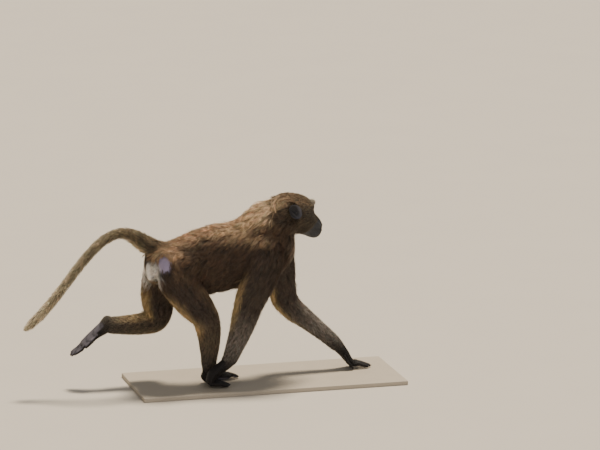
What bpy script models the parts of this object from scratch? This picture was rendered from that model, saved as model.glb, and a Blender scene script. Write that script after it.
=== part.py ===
"""A slim, red-brown baboon walking, as a still life-size model on a thin base plate.

Metres, +Z up. +X is the way the animal heads and +Y is its left side. The forms are first laid
out in the animal's own frame, whose origin is on the ground under the heel of the right foot,
and the finished pieces are then moved so that the origin is the middle of the base's underside.

The body is modelled whole, from lofted forms that are fused and smoothed, and is then parted
into its named pieces by thin cuts. The surface is that of the lying coat, not of the skin. Where
the coat is long, the surface lies a little deeper and carries flat, tapered, overlapping locks.
"""
import math
import random

import bmesh
import bpy
import numpy as np
from mathutils import Matrix, Vector
from mathutils.bvhtree import BVHTree

# Space left between pieces that touch.
GAP = 0.0003

# Base plate: a thin slab with eased edges.
BASE_LENGTH = 0.92
BASE_WIDTH = 0.36
BASE_THICKNESS = 0.014
BASE_EASE = 0.003
# Middle of the base, in the animal's frame.
BASE_MIDDLE_X = 0.225
BASE_MIDDLE_Y = -0.010

# Grain of the fused surfaces: body, then head and paws.
BODY_GRAIN = 0.0050
FINE_GRAIN = 0.0022

# Rounds of smoothing that blend the body's forms into each other.
BODY_EASE = 9

# Triangles kept on the fused surfaces before they are parted.
BODY_TRIANGLES = 3900
HEAD_TRIANGLES = 1500
PAW_TRIANGLES = 490

# Long coat: how far its core lies under the tips of the locks, how deep their roots are sunk,
# how wide, long and thick they are, how far apart they stand along and round the body, and how
# near to a cut a lock may come.
CORE_DROP = 0.0055
LOCK_ROOT = 0.0060
LOCK_LENGTH = 0.088
LOCK_WIDTH = 0.042
LOCK_THICKNESS = 0.0048
LOCK_STEP = 0.060
LOCK_ANGLE = math.radians(33)
LOCK_REACH = math.radians(128)
LOCK_CLEAR = 0.0020
LOCK_SHARES = (1.0, 0.8, 0.62, 0.46)
MANTLE_FROM = 0.305
MANTLE_TO = -0.150
LOCK_SEED = 7
# Pieces that carry locks, and the bare or separate ones beside them that locks keep clear of.
COATED = ("torso", "neck", "head", "upper_arm_r", "upper_arm_l", "forearm_r", "forearm_l", "thigh_r", "thigh_l",
          "shank_r", "shank_l", "tail_root", "tail_middle", "tail_end", "seat_pad_r", "seat_pad_l", "ear_r", "ear_l",
          "jaw")

# Where the head sits and how it is turned: middle of the line between the ear holes,
# turned to the animal's left and bowed.
HEAD_AT = (0.326, 0.008, 0.562)
HEAD_TURN = math.radians(30)
HEAD_BOW = math.radians(12)

# Trunk, in upright slices: place along the body, top, bottom and half width.
TRUNK = [
    (-0.180, 0.436, 0.374, 0.026),
    (-0.163, 0.466, 0.354, 0.056),
    (-0.125, 0.486, 0.340, 0.074),
    (-0.080, 0.498, 0.328, 0.080),
    (-0.030, 0.520, 0.308, 0.078),
    (0.020, 0.535, 0.299, 0.076),
    (0.070, 0.543, 0.306, 0.080),
    (0.120, 0.548, 0.314, 0.086),
    (0.170, 0.562, 0.318, 0.090),
    (0.220, 0.562, 0.326, 0.086),
    (0.265, 0.550, 0.348, 0.074),
    (0.300, 0.528, 0.376, 0.056),
    (0.324, 0.500, 0.408, 0.030),
]

# Tubes, from their roots outwards: middle, half width sideways, half depth in the upright plane.
NECK = [
    (0.150, 0.000, 0.462, 0.070, 0.080),
    (0.215, 0.000, 0.502, 0.072, 0.087),
    (0.260, 0.004, 0.530, 0.064, 0.088),
    (0.300, 0.008, 0.552, 0.058, 0.078),
]
TAIL = [
    (-0.085, 0.000, 0.446, 0.045, 0.040),
    (-0.130, 0.000, 0.456, 0.036, 0.037),
    (-0.165, 0.000, 0.474, 0.029, 0.034),
    (-0.200, 0.000, 0.499, 0.023, 0.028),
    (-0.235, 0.001, 0.520, 0.019, 0.022),
    (-0.265, 0.002, 0.5265, 0.0175, 0.0185),
    (-0.297, 0.003, 0.520, 0.0165, 0.0170),
    (-0.335, 0.004, 0.498, 0.0160, 0.0165),
    (-0.375, 0.005, 0.461, 0.0155, 0.0160),
    (-0.412, 0.005, 0.419, 0.0150, 0.0155),
    (-0.446, 0.004, 0.377, 0.0150, 0.0150),
    (-0.478, 0.003, 0.337, 0.0145, 0.0150),
    (-0.510, 0.001, 0.300, 0.0145, 0.0150),
    (-0.545, -0.001, 0.263, 0.0140, 0.0145),
    (-0.577, -0.003, 0.234, 0.0120, 0.0125),
    (-0.598, -0.004, 0.216, 0.0070, 0.0075),
]
RIGHT_ARM = [
    (0.222, -0.058, 0.462, 0.034, 0.060),
    (0.212, -0.072, 0.415, 0.038, 0.066),
    (0.192, -0.084, 0.360, 0.036, 0.060),
    (0.166, -0.090, 0.307, 0.032, 0.053),
    (0.148, -0.094, 0.262, 0.029, 0.047),
    (0.129, -0.097, 0.208, 0.027, 0.041),
    (0.108, -0.099, 0.155, 0.024, 0.034),
    (0.090, -0.100, 0.112, 0.0215, 0.0275),
    (0.082, -0.100, 0.092, 0.0205, 0.0245),
]
LEFT_ARM = [
    (0.270, 0.052, 0.452, 0.034, 0.054),
    (0.290, 0.066, 0.405, 0.036, 0.060),
    (0.303, 0.071, 0.350, 0.034, 0.054),
    (0.311, 0.072, 0.297, 0.031, 0.047),
    (0.321, 0.070, 0.250, 0.029, 0.043),
    (0.352, 0.064, 0.210, 0.027, 0.038),
    (0.392, 0.057, 0.176, 0.025, 0.033),
    (0.430, 0.050, 0.143, 0.023, 0.029),
    (0.466, 0.043, 0.112, 0.021, 0.0255),
    (0.487, 0.039, 0.092, 0.0200, 0.0230),
]
RIGHT_LEG = [
    (-0.122, -0.040, 0.430, 0.040, 0.050),
    (-0.094, -0.056, 0.378, 0.048, 0.068),
    (-0.062, -0.066, 0.328, 0.046, 0.063),
    (-0.030, -0.072, 0.285, 0.041, 0.056),
    (-0.002, -0.074, 0.250, 0.037, 0.047),
    (0.014, -0.070, 0.214, 0.033, 0.042),
    (0.020, -0.064, 0.172, 0.030, 0.039),
    (0.022, -0.056, 0.130, 0.026, 0.034),
    (0.023, -0.048, 0.094, 0.022, 0.028),
    (0.022, -0.043, 0.066, 0.020, 0.025),
]
LEFT_LEG = [
    (-0.120, 0.040, 0.430, 0.040, 0.050),
    (-0.120, 0.055, 0.378, 0.047, 0.066),
    (-0.124, 0.064, 0.325, 0.047, 0.061),
    (-0.126, 0.066, 0.275, 0.042, 0.054),
    (-0.124, 0.066, 0.235, 0.037, 0.046),
    (-0.138, 0.066, 0.203, 0.034, 0.041),
    (-0.182, 0.065, 0.195, 0.031, 0.037),
    (-0.226, 0.064, 0.194, 0.028, 0.034),
    (-0.266, 0.063, 0.195, 0.024, 0.030),
    (-0.296, 0.062, 0.197, 0.021, 0.028),
]

# Head, in slices across its own long axis: place, top, bottom, half width, all from HEAD_AT.
HEAD = [
    (-0.078, 0.040, -0.015, 0.030),
    (-0.060, 0.058, -0.040, 0.047),
    (-0.030, 0.068, -0.056, 0.054),
    (0.000, 0.071, -0.063, 0.056),
    (0.030, 0.068, -0.067, 0.054),
    (0.055, 0.060, -0.069, 0.048),
    (0.070, 0.050, -0.070, 0.041),
    (0.081, 0.032, -0.071, 0.034),
    (0.092, 0.017, -0.073, 0.0285),
    (0.106, 0.004, -0.076, 0.0250),
    (0.121, -0.008, -0.077, 0.0230),
    (0.134, -0.017, -0.073, 0.0205),
    (0.1435, -0.026, -0.064, 0.0155),
    (0.148, -0.036, -0.053, 0.0080),
]
# Brow ridge over the eyes, from side to side.
BROW_HALF_WIDTH = 0.034
BROW_AT = (0.074, 0.042)
BROW_THICKNESS = 0.0085

EYE_AT = (0.0735, 0.0195, 0.0265)
EYE_RADIUS = 0.0090
LID_RADIUS = 0.0017

EAR_AT = (-0.032, 0.0600, 0.016)
EAR_FLARE = math.radians(5)
EAR_LEAN = math.radians(-12)
EAR_HEIGHT = 0.054
EAR_WIDTH = 0.042
EAR_THICKNESS = 0.0030
EAR_CUP = 0.0090

NOSTRIL_AT = (0.1462, 0.0070, -0.0310)
NOSTRIL_SIZE = (0.0045, 0.0024, 0.0036)

# The mouth's line: where it meets the front of the muzzle, and its corner.
MOUTH_FRONT = (0.1472, -0.052)
MOUTH_CORNER = (0.088, -0.046)
LIP_THICKNESS = 0.0032

PAD_AT = (-0.176, 0.017, 0.398)
PAD_SIZE = (0.010, 0.014, 0.030)

# Cuts: a point of each, and the way from the near piece to the far one.
ELBOWS_AND_KNEES = {
    "arm_r": ((0.150, -0.093, 0.268), (-0.30, 0.0, -0.95)),
    "arm_l": ((0.318, 0.071, 0.258), (0.45, 0.0, -0.90)),
    "leg_r": ((0.006, -0.073, 0.235), (0.20, 0.0, -1.0)),
    "leg_l": ((-0.126, 0.066, 0.206), (-0.70, 0.0, -0.70)),
}
WRISTS_AND_ANKLES = {
    "arm_r": ((0.0845, -0.100, 0.098), (-0.37, 0.0, -0.93)),
    "arm_l": ((0.484, 0.039, 0.095), (0.72, -0.07, -0.69)),
    "leg_r": ((0.022, -0.044, 0.074), (0.0, 0.0, -1.0)),
    "leg_l": ((-0.290, 0.062, 0.197), (-1.0, 0.0, 0.10)),
}
TAIL_CUTS = (((-0.265, 0.002, 0.5265), (-1.0, 0.0, 0.0)), ((-0.446, 0.004, 0.377), (-0.64, 0.0, -0.77)))
NECK_CUT = ((0.320, 0.0, 0.462), (0.79, 0.45, 0.42))
THROAT_CUT = ((0.215, 0.0, 0.500), (0.86, 0.0, 0.50))


def clear_scene():
    """Start from an empty scene."""
    for obj in list(bpy.data.objects):
        bpy.data.objects.remove(obj, do_unlink=True)


def material(name, colour, roughness):
    """A plain finish for the pieces of one kind."""
    mat = bpy.data.materials.new(name)
    mat.use_nodes = True
    shader = mat.node_tree.nodes["Principled BSDF"]
    shader.inputs["Base Color"].default_value = (*colour, 1.0)
    shader.inputs["Roughness"].default_value = roughness
    return mat


def mesh_object(name, vertices, faces):
    """A new object from plain lists, with its faces turned outwards."""
    mesh = bpy.data.meshes.new(name)
    mesh.from_pydata([tuple(v) for v in vertices], [], [tuple(f) for f in faces])
    work = bmesh.new()
    work.from_mesh(mesh)
    bmesh.ops.recalc_face_normals(work, faces=work.faces)
    work.to_mesh(mesh)
    work.free()
    obj = bpy.data.objects.new(name, mesh)
    bpy.context.collection.objects.link(obj)
    return obj


def smooth_rows(rows, steps):
    """Rows read from a smooth curve through the given ones, with steps between each pair."""
    rows = np.array(rows, dtype=float)
    ends = np.vstack([2 * rows[0] - rows[1], rows, 2 * rows[-1] - rows[-2]])
    out = []
    for i in range(len(rows) - 1):
        a, b, c, d = ends[i:i + 4]
        for t in np.linspace(0, 1, steps, endpoint=False):
            out.append(0.5 * (2 * b + (c - a) * t + (2 * a - 5 * b + 4 * c - d) * t ** 2
                              + (3 * b - a - 3 * c + d) * t ** 3))
    out.append(rows[-1])
    return np.array(out)


def closed_rings(name, rings):
    """A closed skin over a row of rings of equal count, each end shut by a fan."""
    count = len(rings[0])
    vertices = [p for ring in rings for p in ring]
    faces = []
    for r in range(len(rings) - 1):
        for k in range(count):
            n = (k + 1) % count
            faces.append((r * count + k, r * count + n, (r + 1) * count + n, (r + 1) * count + k))
    first = len(vertices)
    vertices.append(np.mean(rings[0], axis=0))
    vertices.append(np.mean(rings[-1], axis=0))
    last_ring = (len(rings) - 1) * count
    for k in range(count):
        n = (k + 1) % count
        faces.append((first, n, k))
        faces.append((first + 1, last_ring + k, last_ring + n))
    return mesh_object(name, vertices, faces)


def slices(name, rows, count=28, steps=4):
    """A form from upright slices across X: place, top, bottom, half width."""
    rings = []
    for x, top, bottom, half in smooth_rows(rows, steps):
        middle = 0.5 * (top + bottom)
        tall = max(0.5 * (top - bottom), 0.002)
        half = max(half, 0.002)
        ring = []
        for k in range(count):
            a = 2 * math.pi * k / count
            ring.append((x, half * math.cos(a), middle + tall * math.sin(a)))
        rings.append(ring)
    return closed_rings(name, rings)


def tube(name, rows, count=18, steps=4, side=(0, 1, 0), grow=0.0, cap=3):
    """A round-ended tube: middle, half width along the side direction, half depth across it."""
    rows = smooth_rows(rows, steps)
    middles = rows[:, :3]
    widths = rows[:, 3:5] + grow
    heading = np.gradient(middles, axis=0)
    heading /= np.linalg.norm(heading, axis=1)[:, None]
    side = np.array(side, dtype=float)

    def ring(i, scale, push):
        along = heading[i]
        across = side - along * side.dot(along)
        across /= np.linalg.norm(across)
        deep = np.cross(along, across)
        reach = push * min(widths[i])
        turn = np.linspace(0, 2 * math.pi, count, endpoint=False)
        return [middles[i] + along * reach
                + scale * (across * widths[i][0] * math.cos(a) + deep * widths[i][1] * math.sin(a))
                for a in turn]

    rings = []
    for c in range(cap):
        a = 0.5 * math.pi * (c + 0.5) / cap
        rings.append(ring(0, math.sin(a), -math.cos(a)))
    for i in range(len(middles)):
        rings.append(ring(i, 1.0, 0.0))
    for c in reversed(range(cap)):
        a = 0.5 * math.pi * (c + 0.5) / cap
        rings.append(ring(len(middles) - 1, math.sin(a), math.cos(a)))
    return closed_rings(name, rings)


def ball(name, at, size, turn=None, count=20):
    """An egg of the given half sizes."""
    rings = []
    for c in range(1, count // 2):
        a = math.pi * c / (count // 2)
        ring = []
        for k in range(count):
            b = 2 * math.pi * k / count
            ring.append((-math.cos(a) * size[0], math.sin(a) * math.cos(b) * size[1],
                         math.sin(a) * math.sin(b) * size[2]))
        rings.append(ring)
    rings = [[(-size[0] * 0.995, p[1] * 0.2, p[2] * 0.2) for p in rings[0]]] + rings
    rings.append([(size[0] * 0.995, p[1] * 0.2, p[2] * 0.2) for p in rings[-1]])
    obj = closed_rings(name, rings)
    frame = Matrix.Translation(Vector(at))
    if turn is not None:
        frame = frame @ turn
    obj.data.transform(frame)
    return obj


def block(name, low, high):
    """A plain block between two corners."""
    vertices = [(x, y, z) for x in (low[0], high[0]) for y in (low[1], high[1]) for z in (low[2], high[2])]
    faces = [(0, 1, 3, 2), (4, 6, 7, 5), (0, 4, 5, 1), (2, 3, 7, 6), (0, 2, 6, 4), (1, 5, 7, 3)]
    return mesh_object(name, vertices, faces)


def drop(*objects):
    """Remove helper objects that have done their work."""
    for obj in objects:
        bpy.data.objects.remove(obj, do_unlink=True)


def settle(obj):
    """Turn an object's modifiers into its mesh."""
    graph = bpy.context.evaluated_depsgraph_get()
    mesh = bpy.data.meshes.new_from_object(obj.evaluated_get(graph))
    obj.modifiers.clear()
    obj.data = mesh
    return obj


def twin(obj, name):
    """A copy of an object with a mesh of its own."""
    other = obj.copy()
    other.data = obj.data.copy()
    other.name = name
    bpy.context.collection.objects.link(other)
    return other


def largest(obj):
    """Keep only the largest closed surface of an object."""
    work = bmesh.new()
    work.from_mesh(obj.data)
    left = set(work.verts)
    groups = []
    while left:
        seed = left.pop()
        group = {seed}
        edge = [seed]
        while edge:
            vertex = edge.pop()
            for link in vertex.link_edges:
                other = link.other_vert(vertex)
                if other in left:
                    left.remove(other)
                    group.add(other)
                    edge.append(other)
        groups.append(group)
    groups.sort(key=len, reverse=True)
    spare = [v for group in groups[1:] for v in group]
    bmesh.ops.delete(work, geom=spare, context="VERTS")
    work.to_mesh(obj.data)
    work.free()
    return obj


def boolean(obj, other, operation):
    """Apply one Boolean with one other object, which is used up."""
    step = obj.modifiers.new("Boolean", "BOOLEAN")
    step.operation = operation
    step.object = other
    settle(obj)
    drop(other)
    return obj


def joined(obj, others):
    """Fuse many closed pieces into an object by one Boolean union."""
    group = bpy.data.collections.new("pieces")
    bpy.context.scene.collection.children.link(group)
    for other in others:
        bpy.context.collection.objects.unlink(other)
        group.objects.link(other)
    step = obj.modifiers.new("Boolean", "BOOLEAN")
    step.operation = "UNION"
    step.operand_type = "COLLECTION"
    step.collection = group
    step.solver = "MANIFOLD"
    settle(obj)
    drop(*others)
    bpy.data.collections.remove(group)
    return largest(obj)


def fused(name, forms, grain, rounds):
    """Fuse overlapping closed forms into one smooth skin."""
    vertices = []
    faces = []
    for form in forms:
        start = len(vertices)
        vertices.extend(tuple(v.co) for v in form.data.vertices)
        faces.extend([start + i for i in face.vertices] for face in form.data.polygons)
    mesh = bpy.data.meshes.new(name)
    mesh.from_pydata(vertices, [], faces)
    obj = bpy.data.objects.new(name, mesh)
    bpy.context.collection.objects.link(obj)
    voxels = obj.modifiers.new("Remesh", "REMESH")
    voxels.mode = "VOXEL"
    voxels.voxel_size = grain
    ease = obj.modifiers.new("Smooth", "SMOOTH")
    ease.factor = 0.5
    ease.iterations = rounds
    settle(obj)
    return largest(obj)


def thinned(obj, triangles):
    """Bring an object down to a number of triangles."""
    have = sum(len(face.vertices) - 2 for face in obj.data.polygons)
    step = obj.modifiers.new("Decimate", "DECIMATE")
    step.ratio = min(1.0, triangles / have)
    step.use_collapse_triangulate = True
    settle(obj)
    return largest(obj)


def digit(name, root, knuckle, tip, radius, count=10):
    """One finger or toe, bent at its knuckle."""
    root, knuckle, tip = (np.array(p) for p in (root, knuckle, tip))
    rows = [
        (*root, radius * 1.15, radius * 1.15),
        (*(0.5 * (root + knuckle)), radius * 1.02, radius * 1.02),
        (*knuckle, radius * 1.06, radius * 1.06),
        (*(0.5 * (knuckle + tip)), radius * 0.92, radius * 0.90),
        (*tip, radius * 0.78, radius * 0.72),
    ]
    return tube(name, rows, count=count, steps=3)


def fan_of_digits(name, roots_at, along, across, up, lengths, spread, radius, bend):
    """Four fingers or toes side by side, each with its knuckle a little raised."""
    along, across, up = (np.array(v, dtype=float) for v in (along, across, up))
    forms = []
    middle = (len(lengths) - 1) / 2
    for k, length in enumerate(lengths):
        offset = (k - middle) * spread
        root = np.array(roots_at) + across * offset
        fan = along + across * offset * 2.2
        fan /= np.linalg.norm(fan)
        knuckle = root + fan * length * 0.45 + up * bend
        tip = root + fan * length
        forms.append(digit(f"{name}_{k}", root, knuckle, tip, radius))
    return forms


def right_hand():
    """Right hand, about to leave the ground: palm leaning forward over flat fingers."""
    palm = [
        (0.084, -0.100, 0.096, 0.0200, 0.0215),
        (0.064, -0.101, 0.076, 0.0215, 0.0165),
        (0.040, -0.102, 0.060, 0.0255, 0.0140),
        (0.019, -0.102, 0.044, 0.0275, 0.0130),
        (0.010, -0.102, 0.025, 0.0280, 0.0120),
    ]
    forms = [tube("palm", palm, steps=4)]
    forms += fan_of_digits("finger", (0.010, -0.102, 0.0165), (1, 0, -0.15), (0, 1, 0), (0, 0, 1),
                           (0.058, 0.066, 0.065, 0.055), 0.0140, 0.0066, 0.0030)
    forms.append(digit("thumb", (0.040, -0.078, 0.055), (0.036, -0.068, 0.032), (0.050, -0.066, 0.010), 0.0052))
    return forms


def left_hand():
    """Left hand, just set down ahead: palm sloping into flat fingers."""
    palm = [
        (0.485, 0.039, 0.094, 0.0195, 0.0210),
        (0.502, 0.037, 0.075, 0.0210, 0.0165),
        (0.520, 0.036, 0.053, 0.0250, 0.0140),
        (0.537, 0.035, 0.030, 0.0275, 0.0125),
    ]
    forms = [tube("palm", palm, steps=4)]
    forms += fan_of_digits("finger", (0.540, 0.035, 0.0155), (1, 0, -0.14), (0, 1, 0), (0, 0, 1),
                           (0.058, 0.070, 0.069, 0.060), 0.0140, 0.0066, 0.0050)
    forms.append(digit("thumb", (0.515, 0.013, 0.050), (0.526, 0.003, 0.028), (0.541, 0.000, 0.008), 0.0052))
    return forms


def right_foot():
    """Right foot, flat on the ground under the shank."""
    sole = [
        (0.013, -0.044, 0.022, 0.0175, 0.0210),
        (0.028, -0.036, 0.030, 0.0200, 0.0290),
        (0.048, -0.026, 0.024, 0.0225, 0.0235),
        (0.068, -0.015, 0.018, 0.0255, 0.0175),
        (0.086, -0.006, 0.014, 0.0265, 0.0135),
    ]
    ankle = [
        (0.022, -0.043, 0.080, 0.0200, 0.0240),
        (0.024, -0.041, 0.045, 0.0190, 0.0240),
        (0.026, -0.040, 0.026, 0.0185, 0.0220),
    ]
    forms = [tube("sole", sole, steps=4), tube("ankle", ankle, steps=4)]
    forms += fan_of_digits("toe", (0.085, -0.006, 0.0120), (0.88, 0.47, -0.14), (-0.47, 0.88, 0), (0, 0, 1),
                           (0.040, 0.049, 0.050, 0.044), 0.0135, 0.0064, 0.0060)
    forms.append(digit("big_toe", (0.042, -0.008, 0.012), (0.048, 0.018, 0.011), (0.062, 0.033, 0.006), 0.0070))
    return forms


def left_foot():
    """Left foot, trailing behind with its sole turned up and back."""
    along = np.array((-0.824, 0.0, -0.566))
    sole_way = np.array((-0.566, 0.0, 0.824))
    ankle = np.array((-0.298, 0.062, 0.197))
    heel = ankle + sole_way * 0.022 - along * 0.006
    rows = []
    for reach, lift, half, deep in ((0.004, 0.0010, 0.0185, 0.0225), (0.030, 0.0020, 0.0205, 0.0215),
                                    (0.058, 0.0020, 0.0235, 0.0175), (0.084, 0.0010, 0.0260, 0.0140),
                                    (0.106, -0.0010, 0.0265, 0.0115)):
        rows.append((*(ankle + along * reach + sole_way * (lift + 0.004)), half, deep))
    forms = [tube("sole", rows, steps=4), ball("heel", heel, (0.017, 0.0175, 0.017))]
    shank = [
        (-0.262, 0.063, 0.195, 0.0235, 0.0295),
        (-0.285, 0.0625, 0.197, 0.0210, 0.0270),
        (-0.302, 0.062, 0.199, 0.0195, 0.0230),
    ]
    forms.append(tube("ankle", shank, steps=4))
    roots = ankle + along * 0.106 + sole_way * 0.002
    forms += fan_of_digits("toe", roots, along + np.array((0.03, 0, -0.10)), (0, -1, 0), -sole_way,
                           (0.050, 0.056, 0.054, 0.044), 0.0135, 0.0064, 0.0030)
    thumb = ankle + along * 0.058 + np.array((0, -0.018, 0)) + sole_way * 0.004
    forms.append(digit("big_toe", thumb, thumb + along * 0.028 + np.array((0, -0.014, 0)) + sole_way * 0.004,
                       thumb + along * 0.050 + np.array((0, -0.017, 0)) - sole_way * 0.002, 0.0070))
    return forms


def head_frame():
    """From the head's own frame to the animal's."""
    turn = Matrix.Rotation(HEAD_TURN, 4, "Z") @ Matrix.Rotation(HEAD_BOW, 4, "Y")
    return Matrix.Translation(Vector(HEAD_AT)) @ turn


def head_forms():
    """Skull with its coat, the muzzle and the brow, in the head's own frame."""
    forms = [slices("skull", HEAD)]
    brow = []
    for t in np.linspace(-1, 1, 7):
        brow.append((BROW_AT[0] - 0.012 * t * t, BROW_HALF_WIDTH * t, BROW_AT[1] - 0.004 * t * t,
                     BROW_THICKNESS, BROW_THICKNESS))
    forms.append(tube("brow", brow, count=12, side=(1, 0, 0)))
    for side in (-1, 1):
        cheek = [
            (0.020, side * 0.036, -0.020, 0.024, 0.030),
            (0.048, side * 0.033, -0.016, 0.017, 0.022),
            (0.074, side * 0.027, -0.014, 0.011, 0.014),
        ]
        forms.append(tube("cheek", cheek, count=14))
        ridge = [
            (0.078, side * 0.014, 0.008, 0.0080, 0.0080),
            (0.103, side * 0.0135, -0.006, 0.0085, 0.0085),
            (0.126, side * 0.0115, -0.019, 0.0080, 0.0080),
            (0.140, side * 0.0085, -0.029, 0.0070, 0.0070),
        ]
        forms.append(tube("muzzle_ridge", ridge, count=12))
    return forms


def almond(side, radius):
    """The lids' edge round one eye, on the eye's own front, corner to corner and back."""
    points = []
    for k in range(12):
        a = 2 * math.pi * k / 12
        wide = 0.0088 * math.cos(a)
        tall = (0.0052 if math.sin(a) > 0 else 0.0042) * math.sin(a)
        deep = math.sqrt(max(radius ** 2 - wide ** 2 - tall ** 2, 0.0))
        out = Vector((math.cos(0.35) * deep - math.sin(0.35) * wide,
                      side * (math.sin(0.35) * deep + math.cos(0.35) * wide), tall))
        points.append(Vector((EYE_AT[0], side * EYE_AT[1], EYE_AT[2])) + out)
    return points


def ring_tube(name, points, radius, count=5):
    """A closed loop of round stuff through the given points."""
    total = len(points)
    vertices = []
    middle = sum(points, Vector()) / total
    for i, point in enumerate(points):
        along = (points[(i + 1) % total] - points[i - 1]).normalized()
        out = point - middle
        out = (out - along * out.dot(along)).normalized()
        deep = along.cross(out)
        for k in range(count):
            a = 2 * math.pi * k / count
            vertices.append(point + (out * math.cos(a) + deep * math.sin(a)) * radius)
    faces = []
    for i in range(total):
        j = (i + 1) % total
        for k in range(count):
            n = (k + 1) % count
            faces.append((i * count + k, i * count + n, j * count + n, j * count + k))
    return mesh_object(name, vertices, faces)


def ear_form(side):
    """One ear: a rounded leaf with a rolled rim, hollow towards the front and outside."""
    rows = 7
    cols = 8
    front = []
    back = []
    for r in range(rows):
        t = r / (rows - 1)
        half = 0.5 * EAR_WIDTH * math.sin(math.pi * (0.16 + 0.80 * t)) ** 0.62
        high = EAR_HEIGHT * (t - 0.5)
        for c in range(cols):
            s = 2 * c / (cols - 1) - 1
            wide = half * s
            cup = EAR_CUP * (1 - s * s) * math.sin(math.pi * min(0.15 + 0.85 * t, 0.98)) ** 0.7
            rim = 0.0012 * (abs(s) ** 4)
            front.append((wide, -cup + rim, high))
            back.append((wide * 1.04, -cup - EAR_THICKNESS - rim, high * 1.02))
    vertices = front + back
    faces = []
    total = rows * cols
    for r in range(rows - 1):
        for c in range(cols - 1):
            a = r * cols + c
            b, d, e = a + 1, a + cols, a + cols + 1
            faces += [(a, b, e), (a, e, d), (total + a, total + e, total + b), (total + a, total + d, total + e)]
    edge = [c for c in range(cols)]
    edge += [r * cols + cols - 1 for r in range(1, rows)]
    edge += [(rows - 1) * cols + c for c in range(cols - 2, -1, -1)]
    edge += [r * cols for r in range(rows - 2, 0, -1)]
    for i, a in enumerate(edge):
        b = edge[(i + 1) % len(edge)]
        faces += [(a, total + a, total + b), (a, total + b, b)]
    if side < 0:
        vertices = [(x, -y, z) for x, y, z in vertices]
    obj = mesh_object("ear", vertices, faces)
    lean = Matrix.Rotation(-side * EAR_FLARE, 4, "Z") @ Matrix.Rotation(EAR_LEAN, 4, "Y")
    place = Matrix.Translation(Vector((EAR_AT[0], side * EAR_AT[1], EAR_AT[2])))
    obj.data.transform(head_frame() @ place @ lean)
    return obj


def grown(obj, name, amount):
    """A copy of an object, swollen by a small amount."""
    other = twin(obj, name)
    normals = [v.normal.copy() for v in other.data.vertices]
    for vertex, normal in zip(other.data.vertices, normals):
        vertex.co += normal * amount
    return other


def cut_off(obj, point, normal):
    """Cut an object at a plane and close it, dropping the side that the normal points to."""
    work = bmesh.new()
    work.from_mesh(obj.data)
    everything = work.verts[:] + work.edges[:] + work.faces[:]
    cut = bmesh.ops.bisect_plane(work, geom=everything, dist=1e-6, plane_co=point, plane_no=normal,
                                 clear_outer=True)
    rim = [e for e in cut["geom_cut"] if isinstance(e, bmesh.types.BMEdge)]
    bmesh.ops.holes_fill(work, edges=rim, sides=0)
    bmesh.ops.triangulate(work, faces=work.faces[:])
    bmesh.ops.recalc_face_normals(work, faces=work.faces[:])
    work.to_mesh(obj.data)
    work.free()
    return largest(obj)


def part_by_plane(obj, near_name, far_name, point, normal):
    """Part an object in two by a thin cut; the normal points to the far piece."""
    point = Vector(point)
    normal = Vector(normal).normalized()
    far = twin(obj, far_name)
    obj.name = near_name
    cut_off(obj, point - normal * GAP / 2, normal)
    cut_off(far, point + normal * GAP / 2, -normal)
    return obj, far


def zone(rows, spread, extra, cap, grow):
    """A tube a little wider than a limb, which says what belongs to it."""
    wide = [(x, y, z, a * spread + extra, b * spread + extra) for x, y, z, a, b in rows]
    return tube("zone", wide, count=10, steps=1, cap=cap, grow=grow)


def part_by_zone(obj, name, rows, spread=1.10, extra=0.005, cap=2):
    """Take the part of an object that lies in a limb's zone out of it, leaving a thin gap."""
    piece = twin(obj, name)
    boolean(piece, zone(rows, spread, extra, cap, 0.0), "INTERSECT")
    boolean(obj, zone(rows, spread, extra, cap, GAP), "DIFFERENCE")
    return largest(obj), largest(piece)


def paw(name, forms, limb, point, normal):
    """A hand or foot, fused at the finer grain and cut from its limb at the given plane."""
    point = Vector(point)
    normal = Vector(normal).normalized()
    skin = fused(name, forms + [limb], FINE_GRAIN, 3)
    cut_off(skin, point - normal * 0.008, -normal)
    thinned(skin, PAW_TRIANGLES)
    cut_off(skin, point + normal * GAP / 2, -normal)
    cut_off(skin, (0, 0, 0), (0, 0, -1))
    return skin


LIMBS = {"arm_r": RIGHT_ARM, "arm_l": LEFT_ARM, "leg_r": RIGHT_LEG, "leg_l": LEFT_LEG}
LIMB_PIECES = {
    "arm_r": ("upper_arm_r", "forearm_r", "hand_r", right_hand),
    "arm_l": ("upper_arm_l", "forearm_l", "hand_l", left_hand),
    "leg_r": ("thigh_r", "shank_r", "foot_r", right_foot),
    "leg_l": ("thigh_l", "shank_l", "foot_l", left_foot),
}


def muzzle_half(x, z):
    """Half width of the head at a height, from its slices."""
    rows = smooth_rows(HEAD, 4)
    top, bottom, half = (np.interp(x, rows[:, 0], rows[:, k]) for k in (1, 2, 3))
    middle = 0.5 * (top + bottom)
    share = (z - middle) / (0.5 * (top - bottom))
    return half * math.sqrt(max(1 - share ** 2, 0.0))


def mouth_height(x):
    """Height of the mouth's line at a place along the head."""
    share = (x - MOUTH_CORNER[0]) / (MOUTH_FRONT[0] - MOUTH_CORNER[0])
    return MOUTH_CORNER[1] + share * (MOUTH_FRONT[1] - MOUTH_CORNER[1])


def lip(name, lift):
    """One lip, from corner to corner round the front of the muzzle."""
    rows = []
    reaches = np.linspace(MOUTH_CORNER[0], MOUTH_FRONT[0] - 0.003, 6)
    for x in reaches:
        z = mouth_height(x) + lift
        rows.append((x, -(muzzle_half(x, z) - 0.0016), z, LIP_THICKNESS, LIP_THICKNESS))
    rows.append((MOUTH_FRONT[0] - 0.0012, 0.0, mouth_height(MOUTH_FRONT[0]) + lift, LIP_THICKNESS, LIP_THICKNESS))
    for row in reversed(rows[:-1]):
        rows.append((row[0], -row[1], *row[2:]))
    return tube(name, rows, count=6, steps=1, side=(0, 0, 1), cap=1)


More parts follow.
